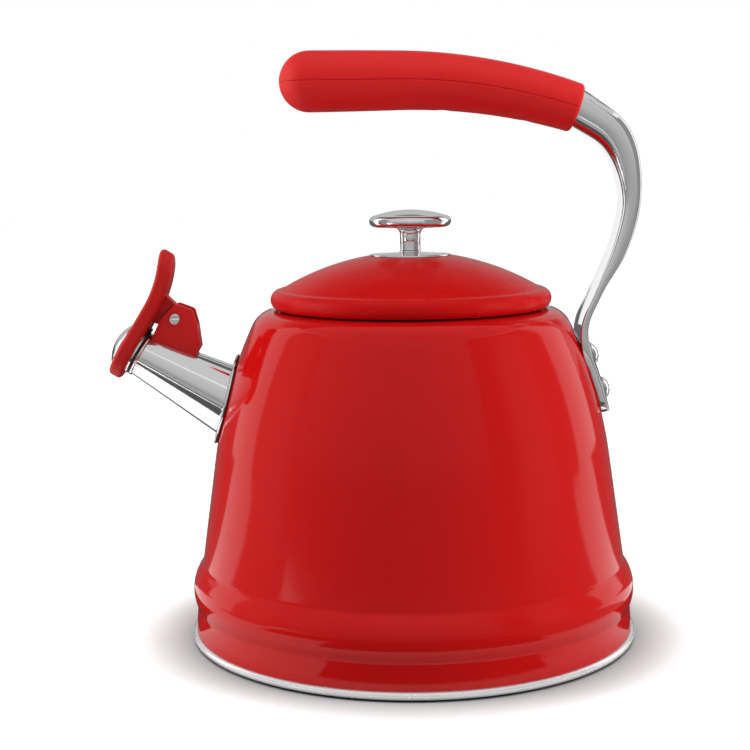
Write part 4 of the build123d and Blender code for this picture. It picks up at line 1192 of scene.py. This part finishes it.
class KETTLE_OT_knob(KettleOperator):
    """Make the turned knob and the disc under it"""

    bl_idname = "kettle.knob"
    bl_label = "Knob"

    def execute(self, context):
        low = HUB[1] + SEAT_GAP
        half = (FLARE[1] + HEAD_RIM_TOP) / 2
        under, rim = (HEAD_RIM, FLARE[1]), (HEAD_RIM, HEAD_RIM_TOP)
        outline = [(0, low), (STEM[0] - STEM_EDGE, low), (STEM[0], low + STEM_EDGE)]
        outline += arc_tangent(STEM, (0, 1), FLARE, STEM_STEP)
        outline += softened(line(FLARE, under, UNDERSIDE_STEP), UNDERSIDE_EASE)
        outline += arc_through(under, (HEAD_RADIUS, half), rim, HEAD_STEP)
        outline += [rim] + arc_tangent((0, KNOB_TOP), (1, 0), rim, CROWN_STEP)[::-1]
        obj = self.lathe("lid_knob", outline, "polished_steel", KNOB_SHARP)
        stands_for(obj, "lid", "polished_steel", "knob")
        disc_top = ROSETTE[1] + ROSETTE_EDGE
        disc = (
            (LID_HOLE, ROSETTE[1]), ROSETTE, (ROSETTE[0], disc_top),
            (HUB[0], disc_top + ROSETTE_CROWN), HUB, (LID_HOLE, HUB[1]),
        )
        obj = self.lathe("knob_disc", rounded(disc, DISC_ROUNDS), "polished_steel")
        stands_for(obj, "lid", "polished_steel", "knob_rosette")
        return {"FINISHED"}


def saddle_ring(outer, low, high, segments):
    """Ring that lies on the wall round the spout, between two distances off it."""
    inner = FLANGE_BORE
    edge = min(SADDLE_EDGE, (high - low) / 2.5)
    corners = ((inner, low), (outer, low), (outer, high), (inner, high))
    section = rounded(corners, (0, edge, edge, 0), 3)
    outward = stepped(inner, outer, SADDLE_STEPS)[1:-1]
    inward = stepped(outer, inner, SADDLE_STEPS)[1:-1]
    bottom = [(radius, low) for radius in outward if radius < outer - edge]
    top = [(radius, high) for radius in inward if radius < outer - edge]
    loop = [section[0]] + bottom + section[1:-1] + top + [section[-1]]
    rings = []
    for k in range(segments):
        angle = 2 * pi * k / segments
        rings.append([on_wall(radius * cos(angle), radius * sin(angle), off) for radius, off in loop])
    return skinned(rings + [rings[0]], capped=False)


class KETTLE_OT_spout(KettleOperator):
    """Make the polished spout with its rolled lip and saddle flange, and the gasket under it"""

    bl_idname = "kettle.spout"
    bl_label = "Spout"

    def execute(self, context):
        segments = self.shape.segments // 2 * 2
        rings = [self.spout_line(2 * pi * k / segments) for k in range(segments)]
        tube = skinned(rings + [rings[0]], capped=False)
        flange = saddle_ring(FLANGE_RADIUS, FLANGE_LOW, FLANGE_LOW + FLANGE_THICKNESS, segments)
        obj = piece("spout_cone", *joined(tube, flange), finishes["polished_steel"], TURNED_SHARP)
        stands_for(obj, "kettle", "polished_steel", "spout_tube")
        gasket = saddle_ring(GASKET_RADIUS, GASKET_LOW, GASKET_TOP, segments)
        obj = piece("flange_gasket", *gasket, finishes["black_rubber"], TURNED_SHARP)
        stands_for(obj, "kettle", "black_rubber", "spout_gasket")
        return {"FINISHED"}

    def spout_line(self, angle):
        """Closed line along the spout at an angle round it: out along the outside, back along the bore."""
        spoke = across * cos(angle) + spout_up * sin(angle)
        slant = spout_axis - spoke * spout_taper

        def to_mouth(radius, back):
            """Point of a cone where it meets a plane behind the mouth."""
            start = spout_root + spoke * radius
            reach = (mouth - mouth_out * back - start).dot(mouth_out) / slant.dot(mouth_out)
            return start + slant * reach

        tail = SPOUT_TAIL
        outer_start = spout_root + spoke * (SPOUT_BASE - spout_taper * tail) + spout_axis * tail
        inner_start = outer_start - spoke * SPOUT_WALL
        neck = to_mouth(SPOUT_BASE, LIP_HEIGHT)
        bore = to_mouth(SPOUT_BASE - SPOUT_WALL, 0)
        radial = across * cos(angle) + mouth_up * sin(angle)
        half = LIP_HEIGHT / 2
        roll = half * LIP_ROLL
        lip = []
        for turn in stepped(-pi / 2, pi / 2, LIP_STEPS):
            out = LIP_RADIUS - roll + roll * cos(turn)
            lip.append(mouth + radial * out + mouth_out * (half * sin(turn) - half))
        return stepped(outer_start, neck, SPOUT_STEPS) + lip + stepped(bore, inner_start, BORE_STEPS)


class KETTLE_OT_bracket(KettleOperator):
    """Make the forked bracket, the hinge pin and the spring round it"""

    bl_idname = "kettle.bracket"
    bl_label = "Bracket"

    def execute(self, context):
        obj = node_copy("spout_bracket", "hinge_bracket", finishes["red_moulding"], self.shape.edge)
        stands_for(obj, "kettle", "red_plastic", "spout_bracket")
        half, end = PIN_HALF, PIN_HALF + PIN_HEAD_HEIGHT
        pin = (
            (0, -end), (PIN_HEAD, -end), (PIN_HEAD, -half), (PIN_RADIUS, -half),
            (PIN_RADIUS, half), (PIN_HEAD, half), (PIN_HEAD, end), (0, end),
        )
        shape = turned(rounded(pin, PIN_ROUNDS), PIN_SEGMENTS, hinge_place)
        obj = piece("cap_pin", *shape, finishes["polished_steel"])
        stands_for(obj, "kettle", "steel", "hinge_pin")
        self.spring()
        return {"FINISHED"}

    def spring(self):
        """Torsion spring: a coil of round wire with a straight leg at each end.
        """
        coil = []
        for turn in stepped(0, COIL_TURNS, COIL_TURNS * COIL_STEPS):
            angle = 2 * pi * turn
            around = mouth_up * COIL_RADIUS * cos(angle) + mouth_out * COIL_RADIUS * sin(angle)
            coil.append(hinge + around + Vector((0, COIL_PITCH * (turn - COIL_TURNS / 2), 0)))
        lever_leg = LEVER_BACK - HINGE_V - 2 * WIRE_RADIUS
        path = [coil[0] - mouth_out * SPRING_LEG] + coil + [coil[-1] + mouth_out * lever_leg]
        mesh = bpy.data.meshes.new("cap_spring")
        mesh.from_pydata([tuple(p * MM) for p in path], [(i, i + 1) for i in range(len(path) - 1)], [])
        obj = in_scene("cap_spring", mesh)
        grown(obj, wire_tree(), WIRE_SHARP, Radius=WIRE_RADIUS * MM, Material=finishes["polished_steel"])
        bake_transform(obj)
        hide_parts("hinge_spring")


class KETTLE_OT_whistle(KettleOperator):
    """Make the whistle cap: lever with its thumb tab, chrome dome, plate and seal"""

    bl_idname = "kettle.whistle"
    bl_label = "Whistle"

    def execute(self, context):
        obj = node_copy("whistle_lever", "cap_lever", finishes["red_lever"])
        stands_for(obj, "whistle", "red_plastic", "whistle_lever")
        foot = LEVER_BACK + LEVER_THICKNESS + SEAT_GAP
        edge = foot + DOME_EDGE
        sleeve = WHISTLE_BORE - SEAT_GAP
        bore = sleeve - DOME_WALL
        crown = arc_tangent((0, edge + DOME_RISE), (1, 0), (DOME_RADIUS, edge), DOME_STEPS[0])
        crown = [p for p in crown if p[0] > STEAM_HOLE]
        inside = arc_tangent((0, foot + DOME_RISE), (1, 0), (bore, foot), DOME_STEPS[1])
        inside = [p for p in inside if p[0] > STEAM_HOLE]
        outline = [(STEAM_HOLE, crown[0][1] - STEAM_HOLE_DIP)] + crown
        outline += [(DOME_RADIUS, edge - DOME_EASE), (DOME_RADIUS - DOME_EASE, foot), (sleeve, foot)]
        outline += [(sleeve, foot - DOME_SLEEVE), (bore, foot - DOME_SLEEVE)] + inside[::-1]
        obj = piece("cap_dome", *turned(outline, DOME_SEGMENTS, mouth_place), finishes["polished_steel"])
        stands_for(obj, "whistle", "polished_steel", "whistle_dome")
        for node, name, finish, slot in (
            ("whistle_plate", "cap_plate", "polished_steel", "steel"),
            ("whistle_seal", "cap_seal", "black_rubber", "black_rubber"),
        ):
            stands_for(node_copy(node, name, finishes[finish]), "whistle", slot, node)
        return {"FINISHED"}


def spine_point(turn, off=0.0):
    """Point off the grip's spine, and the direction along it, where it has turned by an angle."""
    angle = radians(turn)
    centre = (GRIP_BEND_X, GRIP_HEIGHT - GRIP_BEND)
    reach = GRIP_BEND + off
    spot = Vector((centre[0] + reach * sin(angle), 0, centre[1] + reach * cos(angle)))
    return spot, Vector((cos(angle), 0, -sin(angle)))


class KETTLE_OT_strap(KettleOperator):
    """Make the polished handle strap and the rivets that hold its pad on the wall"""

    bl_idname = "kettle.strap"
    bl_label = "Strap"

    def execute(self, context):
        joint, _ = spine_point(GRIP_TURN)
        off = PAD_SEAT + PAD_THICKNESS / 2
        pad_heights = stepped(PAD_LOW, PAD_HIGH, 3)
        points = [wall_point(h, off) for h in pad_heights] + list(STRAP_LINE) + [(joint.x, joint.z)]
        pad = len(pad_heights)
        sags = []
        for height in pad_heights:
            radius = wall_point(height)[0]
            sags.append(radius - sqrt(radius**2 - (PAD_WIDTH / 2) ** 2))
        columns = (
            (PAD_WIDTH,) * pad + STRAP_WIDTHS,
            (PAD_THICKNESS,) * pad + STRAP_THICKNESSES,
            (PAD_EDGE,) * pad + STRAP_ROUNDS,
            (*sags, *STRAP_BOWS),
        )
        run = smooth_run(points, columns, STRAP_STATIONS)
        run = np.vstack([run, self.past_joint(run[-1])])
        rings = []
        for i, (x, z, width, thick, edge, bow) in enumerate(run):
            before, after = run[max(i - 1, 0)][:2], run[min(i + 1, len(run) - 1)][:2]
            ahead = Vector((after[0] - before[0], 0, after[1] - before[1])).normalized()
            reach = hypot(x - run[0][0], z - run[0][1])
            rings.append(self.section(Vector((x, 0, z)), ahead, width, thick, edge, bow, reach))
        obj = piece("grip_strap", *skinned(rings), finishes["polished_steel"])
        stands_for(obj, "kettle", "polished_steel", "handle_strap")
        self.rivets()
        return {"FINISHED"}

    def past_joint(self, last):
        """One more station inside the grip, so that the strap's end doesn't show."""
        spot, _ = spine_point(GRIP_TURN - TANG_TURN)
        return np.array([(spot.x, spot.z, *last[2:])])

    def section(self, spot, ahead, width, thick, edge, bow, reach):
        """Rounded bar across the strap; its lower corners are cut round near the end of the pad."""
        cut = 0.0
        if reach < PAD_CORNER:
            cut = PAD_CORNER - sqrt(PAD_CORNER**2 - (PAD_CORNER - reach) ** 2)
        half, top = width / 2 - cut, thick / 2
        corners = ((-half, -top), (half, -top), (half, top), (-half, top))
        loop = rounded(corners, (edge,) * 4, 4)
        outward = Vector((0, 1, 0)).cross(ahead)
        full = []
        for i, point in enumerate(loop):
            after = loop[(i + 1) % len(loop)]
            flat = abs(after[0] - point[0]) > half or abs(after[1] - point[1]) > thick / 4
            pieces = 8 if flat else 1
            full += [point + (after - point) * k / pieces for k in range(pieces)]
        crown = SIDE_CROWN * thick
        ring = []
        for side, rise in full:
            fall = bow * (side / (width / 2)) ** 2
            drawn = crown * (rise / top) ** 2 * side / half
            ring.append(spot + Vector((0, side - drawn, 0)) + outward * (rise - fall))
        return ring

    def rivets(self):
        """Domed heads on the pad, one shape stood on each spot."""
        rim = (RIVET_HEAD, RIVET_EDGE)
        outline = arc_tangent((0, RIVET_RISE), (1, 0), rim, RIVET_STEP)
        outline += [rim, (RIVET_HEAD - RIVET_EASE, 0), (0, 0)]
        shape = piece("rivet_shape", *turned(outline, RIVET_SEGMENTS), finishes["polished_steel"])
        spots = []
        for height in RIVET_HEIGHTS:
            out = wall_normal(height)
            radius, level = wall_point(height, PAD_THICKNESS + 2 * PAD_SEAT)
            spots.append(((radius, 0, level), (out[0], 0, out[1])))
        obj = repeated("strap_rivets", shape, spots, finishes["polished_steel"])
        stands_for(obj, "kettle", "polished_steel", "handle_rivets")


class KETTLE_OT_grip(KettleOperator):
    """Make the two moulded halves of the grip and the screws in its underside"""

    bl_idname = "kettle.grip"
    bl_label = "Grip"

    def execute(self, context):
        gap = self.shape.parting / MM / 2
        for upper, name, node in ((True, "grip_top", "grip_upper"), (False, "grip_base", "grip_lower")):
            rings = [self.half_ring(*station, upper, gap) for station in self.stations()]
            obj = piece(name, *skinned(rings), finishes["red_grip"], SHEET_SHARP)
            if not upper:
                self.sink_wells(obj)
            stands_for(obj, "kettle", "red_plastic", node)
        self.screws()
        return {"FINISHED"}

    def stations(self):
        """Places along the grip: spot, direction, half width and half height."""
        radius = GRIP_DIAMETER / 2
        dome_x = GRIP_END + radius
        straight = GRIP_BEND_X - dome_x
        length = straight + GRIP_BEND * radians(GRIP_TURN)
        level = Vector((1, 0, 0))
        places = []
        for i in range(1, GRIP_DOME_STEPS):
            angle = pi / 2 * (1 - i / GRIP_DOME_STEPS)
            spot = Vector((dome_x - radius * sin(angle), 0, GRIP_HEIGHT))
            places.append((spot, level, radius * cos(angle), radius * cos(angle)))
        for reach in stepped(0, length - GRIP_EDGE, GRIP_STEPS):
            places.append(self.station(reach, reach / length, straight, level, 0.0))
        for angle in stepped(0, pi / 2, GRIP_END_STEPS)[1:]:
            reach = length - GRIP_EDGE + GRIP_EDGE * sin(angle)
            drawn = GRIP_EDGE * (1 - cos(angle))
            places.append(self.station(reach, reach / length, straight, level, drawn))
        return places

    def station(self, reach, share, straight, level, drawn):
        """One place at a distance along the spine, drawn in by a little at the rounded end."""
        taper = share**GRIP_TAPER
        wide = (GRIP_DIAMETER + (GRIP_JOINT_WIDTH - GRIP_DIAMETER) * taper) / 2 - drawn
        tall = (GRIP_DIAMETER + (GRIP_JOINT_HEIGHT - GRIP_DIAMETER) * taper) / 2 - drawn
        if reach <= straight:
            return Vector((GRIP_BEND_X - straight + reach, 0, GRIP_HEIGHT)), level, wide, tall
        spot, ahead = spine_point(degrees((reach - straight) / GRIP_BEND))
        return spot, ahead, wide, tall

    def half_ring(self, spot, ahead, wide, tall, upper, gap):
        """Half an oval across the grip, with its two edges eased at the parting line."""
        up = Vector((0, 1, 0)).cross(ahead)
        if up.z < 0:
            up.negate()
        sign = 1 if upper else -1
        ease = min(PARTING_EASE, wide / 6)
        ring = []
        for angle in stepped(0, pi, GRIP_SIDES):
            ring.append((wide * cos(angle), max(tall * sin(angle), gap)))
        edge = wide - ease * PARTING_DRAW
        over, rise = wide - ease * PARTING_SIDE, gap + ease * PARTING_RISE
        ring[0] = (edge, gap)
        ring[-1] = (-edge, gap)
        ring.insert(1, (over, rise))
        ring.insert(-1, (-over, rise))
        return [spot + Vector((0, side, 0)) + up * (sign * rise) for side, rise in ring]

    def screw_axis(self, turn):
        """Floor of a screw's well, and the direction down out of it."""
        floor, _ = spine_point(turn, -GRIP_SCREW_SEAT)
        below, _ = spine_point(turn, -GRIP_SCREW_BELOW)
        return floor, (below - floor).normalized()

    def sink_wells(self, obj):
        """Cuts the round wells that the screw heads sit in."""
        outline = ((0, 0), (GRIP_SCREW_WELL, 0), (GRIP_SCREW_WELL, WELL_DEPTH), (0, WELL_DEPTH))
        side = Vector((0, 1, 0))
        wells = []
        for turn in GRIP_SCREW_TURNS:
            floor, down = self.screw_axis(turn)
            wells.append(turned(outline, SCREW_SEGMENTS, axis_place(floor, side, down.cross(side), down)))
        cut_by(obj, piece("wells", *joined(*wells), finishes["red_grip"]), SHEET_SHARP)

    def screws(self):
        """Pan heads with a cross recess, one shape stood in each well."""
        rim = (GRIP_SCREW_HEAD, GRIP_SCREW_RISE * GRIP_SCREW_EDGE)
        outline = arc_tangent((0, GRIP_SCREW_RISE), (1, 0), rim, SCREW_STEP)
        outline += [rim, (GRIP_SCREW_HEAD, 0), (0, 0)]
        shape = piece("screw_shape", *turned(outline, SCREW_SEGMENTS), finishes["brushed_steel"])
        for long, wide in ((RECESS_LONG, RECESS_WIDE), (RECESS_WIDE, RECESS_LONG)):
            corners = ((-long, -wide), (long, -wide), (long, wide), (-long, wide))
            bar = skinned([[(x, y, level) for x, y in corners] for level in (RECESS_FLOOR, RECESS_TOP)])
            cut_by(shape, piece("cross_recess", *bar, finishes["brushed_steel"]), SHARP)
        spots = [self.screw_axis(turn) for turn in GRIP_SCREW_TURNS]
        obj = repeated("grip_fixings", shape, spots, finishes["brushed_steel"])
        stands_for(obj, "kettle", "steel", "grip_screws")


def seen_or_mirrored(tree):
    """Value that is 1 where a point is seen, mirrored or looked at through another, and 0 elsewhere."""
    ray = tree.nodes.new("ShaderNodeLightPath").outputs
    seen = math_node(tree, "ADD", ray["Is Camera Ray"], ray["Is Glossy Ray"])
    seen = math_node(tree, "ADD", seen, ray["Is Transmission Ray"])
    return math_node(tree, "MINIMUM", seen, 1.0)


def glow(tree, strength):
    """White light of a strength."""
    return node(tree, "ShaderNodeEmission", Color=WHITE, Strength=strength).outputs[0]


class KETTLE_OT_stage(KettleOperator):
    """Make the floor, the soft boxes, the surrounding light and the camera"""

    bl_idname = "kettle.stage"
    bl_label = "Stage"

    def execute(self, context):
        stage = context.scene.kettle_stage
        self.floor()
        self.surroundings(stage.fill)
        for name, box in SIDE_BOXES.items():
            self.soft_box(name, *box, stage.key)
        self.soft_box("top_box", *TOP_BOX, stage.top)
        for name, card in UPRIGHT_CARDS.items():
            self.upright_card(name, *card)
        for name, card in LEVEL_CARDS.items():
            self.level_card(name, *card)
        self.camera(stage)
        context.scene.view_settings.view_transform = "Standard"
        return {"FINISHED"}

    def floor(self):
        """Pale floor that keeps the kettle's shadow and is white elsewhere, with a painted shadow as well:
        its glow is weaker near the kettle, and occlusion darkens its glow and its grey at the contact.
        """
        half = FLOOR_HALF
        corners = [(-half, -half, 0), (half, -half, 0), (half, half, 0), (-half, half, 0)]
        mesh = bpy.data.meshes.new("floor")
        mesh.from_pydata(corners, [], [(0, 1, 2, 3)])
        made = Shader("pale_floor")
        tree = made.tree
        reach = node(tree, "ShaderNodeVectorMath", {"operation": "LENGTH"}, Vector=made.place)
        # Painted shadow: the floor's glow is weaker near the kettle
        painted_shadow = ranged(tree, reach.outputs["Value"], "SMOOTHSTEP", **PAINTED_FLOOR_SHADOW)
        grey, settings = (FLOOR_GREY, FLOOR_GREY, FLOOR_GREY, 1), {"samples": PAINTED_CONTACT_SHADE_SAMPLES}
        # Painted contact shade: occlusion darkens the floor's grey and, raised to a power, its glow
        painted_contact_shade = node(tree, "ShaderNodeAmbientOcclusion", settings, Color=grey, Distance=PAINTED_CONTACT_SHADE_REACH)
        made.give(Base_Color=painted_contact_shade.outputs["Color"], Roughness=FLOOR_ROUGHNESS, IOR=FLOOR_IOR)
        open_share = math_node(tree, "POWER", painted_contact_shade.outputs["AO"], PAINTED_CONTACT_SHADE_DEPTH)
        strength = math_node(tree, "MULTIPLY", painted_shadow, open_share)
        lift = glow(tree, math_node(tree, "MULTIPLY", seen_or_mirrored(tree), strength))
        both = tree.nodes.new("ShaderNodeAddShader")
        tree.links.new(made.shader.outputs[0], both.inputs[0])
        tree.links.new(lift, both.inputs[1])
        tree.links.new(both.outputs[0], tree.nodes["Material Output"].inputs["Surface"])
        mesh.materials.append(made.material)
        in_scene("floor", mesh)

    def surroundings(self, fill):
        """White all round where it is seen or mirrored, and a softer light on the pieces."""
        world = bpy.data.worlds.new("surroundings")
        bpy.context.scene.world = world
        world.use_nodes = True
        tree = world.node_tree
        extra = math_node(tree, "MULTIPLY", seen_or_mirrored(tree), 1.0 - fill)
        light = tree.nodes["Background"].inputs
        feed(tree, WHITE, light["Color"])
        feed(tree, math_node(tree, "ADD", extra, fill), light["Strength"])

    def upright_card(self, name, turns, heights, greys, foot=CARD_REACH, reach=CARD_REACH):
        """Grey card bent round the kettle between two turns from the camera, seen only in reflections.

        Its grey runs evenly from the low edge to the high one. A foot nearer than the card's own reach
        lets it run in over the floor.
        """
        low, high = heights
        section = ((foot, low), (reach, low), (reach, high))
        points = []
        for turn in stepped(*turns, CARD_STEPS):
            angle = radians(turn)
            points += [(out * sin(angle), -out * cos(angle), height) for out, height in section]
        faces = []
        for i in range(CARD_STEPS):
            for k in range(2 if foot < reach else 1):
                lower = 3 * i + 1 - k
                faces.append((lower, lower + 1, lower + 4, lower + 3))
        self.hang(name, points, faces, heights, greys)

    def level_card(self, name, x, y, height, grey):
        """Grey card that lies level, seen only in reflections."""
        corners = [(x[0], y[0], height), (x[1], y[0], height), (x[1], y[1], height), (x[0], y[1], height)]
        self.hang(name, corners, [(0, 1, 2, 3)], (height, height + 1), (grey, grey))

    def hang(self, name, points, faces, heights, greys):
        """Card that only mirrors see, from one grey to another between two heights."""
        mesh = bpy.data.meshes.new(name)
        mesh.from_pydata(points, [], faces)
        material = bpy.data.materials.new(name)
        material.use_nodes = True
        tree = material.node_tree
        tree.nodes.remove(tree.nodes["Principled BSDF"])
        place = tree.nodes.new("ShaderNodeTexCoord").outputs["Object"]
        height = node(tree, "ShaderNodeSeparateXYZ", Vector=place).outputs["Z"]
        limits = dict(zip(("From_Min", "From_Max", "To_Min", "To_Max"), (*heights, *greys)))
        light = glow(tree, ranged(tree, height, **limits))
        tree.links.new(light, tree.nodes["Material Output"].inputs["Surface"])
        mesh.materials.append(material)
        obj = in_scene(name, mesh)
        obj.visible_camera = False
        obj.visible_diffuse = False
        obj.visible_shadow = False
        obj.visible_transmission = False

    def soft_box(self, name, spot, size, power):
        """Area light that faces the middle of the kettle."""
        data = bpy.data.lights.new(name, "AREA")
        data.shape = "RECTANGLE"
        data.size, data.size_y = size
        data.energy = power
        obj = in_scene(name, data)
        obj.location = spot
        obj.visible_glossy = False
        aim = Vector((0, 0, AIM_HEIGHT)) - obj.location
        obj.rotation_euler = aim.to_track_quat("-Z", "Y").to_euler()

    def camera(self, stage):
        """Camera where the picture was taken from."""
        data = bpy.data.cameras.new("camera")
        data.sensor_width = SENSOR_WIDTH
        data.lens = data.sensor_width / 2 / tan(stage.view_angle / 2)
        data.clip_start, data.clip_end = CLIP_NEAR, CLIP_FAR
        obj = in_scene("camera", data)
        level = cos(stage.pitch)
        ahead = Vector((sin(stage.yaw) * level, cos(stage.yaw) * level, -sin(stage.pitch)))
        right = Vector((cos(stage.yaw), -sin(stage.yaw), 0))
        up = right.cross(ahead)
        level_right = right * cos(stage.roll) + up * sin(stage.roll)
        level_up = up * cos(stage.roll) - right * sin(stage.roll)
        obj.matrix_world = axis_place((0, -stage.distance, stage.height), level_right, level_up, -ahead)
        bpy.context.scene.camera = obj


class KETTLE_PT_panel(bpy.types.Panel):
    """Lists the kettle's operators and settings in the sidebar"""

    bl_idname = "KETTLE_PT_panel"
    bl_label = "Kettle"
    bl_space_type = "VIEW_3D"
    bl_region_type = "UI"
    bl_category = "Kettle"

    def draw(self, context):
        for name in settings:
            held = getattr(context.scene, name)
            box = self.layout.box()
            for label in held.__annotations__:
                box.prop(held, label)
        for operator in operators:
            self.layout.operator(operator.bl_idname)


operators = (
    KETTLE_OT_finishes,
    KETTLE_OT_body,
    KETTLE_OT_base,
    KETTLE_OT_lid,
    KETTLE_OT_knob,
    KETTLE_OT_spout,
    KETTLE_OT_bracket,
    KETTLE_OT_whistle,
    KETTLE_OT_strap,
    KETTLE_OT_grip,
    KETTLE_OT_stage,
)
settings = {"kettle_finish": KettleFinish, "kettle_shape": KettleShape, "kettle_stage": KettleStage}


def register():
    for cls in (*settings.values(), *operators, KETTLE_PT_panel):
        bpy.utils.register_class(cls)
    for name, cls in settings.items():
        setattr(bpy.types.Scene, name, PointerProperty(type=cls))


def unregister():
    for name in settings:
        delattr(bpy.types.Scene, name)
    for cls in reversed((*settings.values(), *operators, KETTLE_PT_panel)):
        bpy.utils.unregister_class(cls)


def main():
    register()
    bpy.ops.kettle.finishes()
    bpy.ops.kettle.body()
    bpy.ops.kettle.base()
    bpy.ops.kettle.lid()
    bpy.ops.kettle.knob()
    bpy.ops.kettle.spout()
    bpy.ops.kettle.bracket()
    bpy.ops.kettle.whistle()
    bpy.ops.kettle.strap()
    bpy.ops.kettle.grip()
    bpy.ops.kettle.stage()


if __name__ == "__main__":
    main()
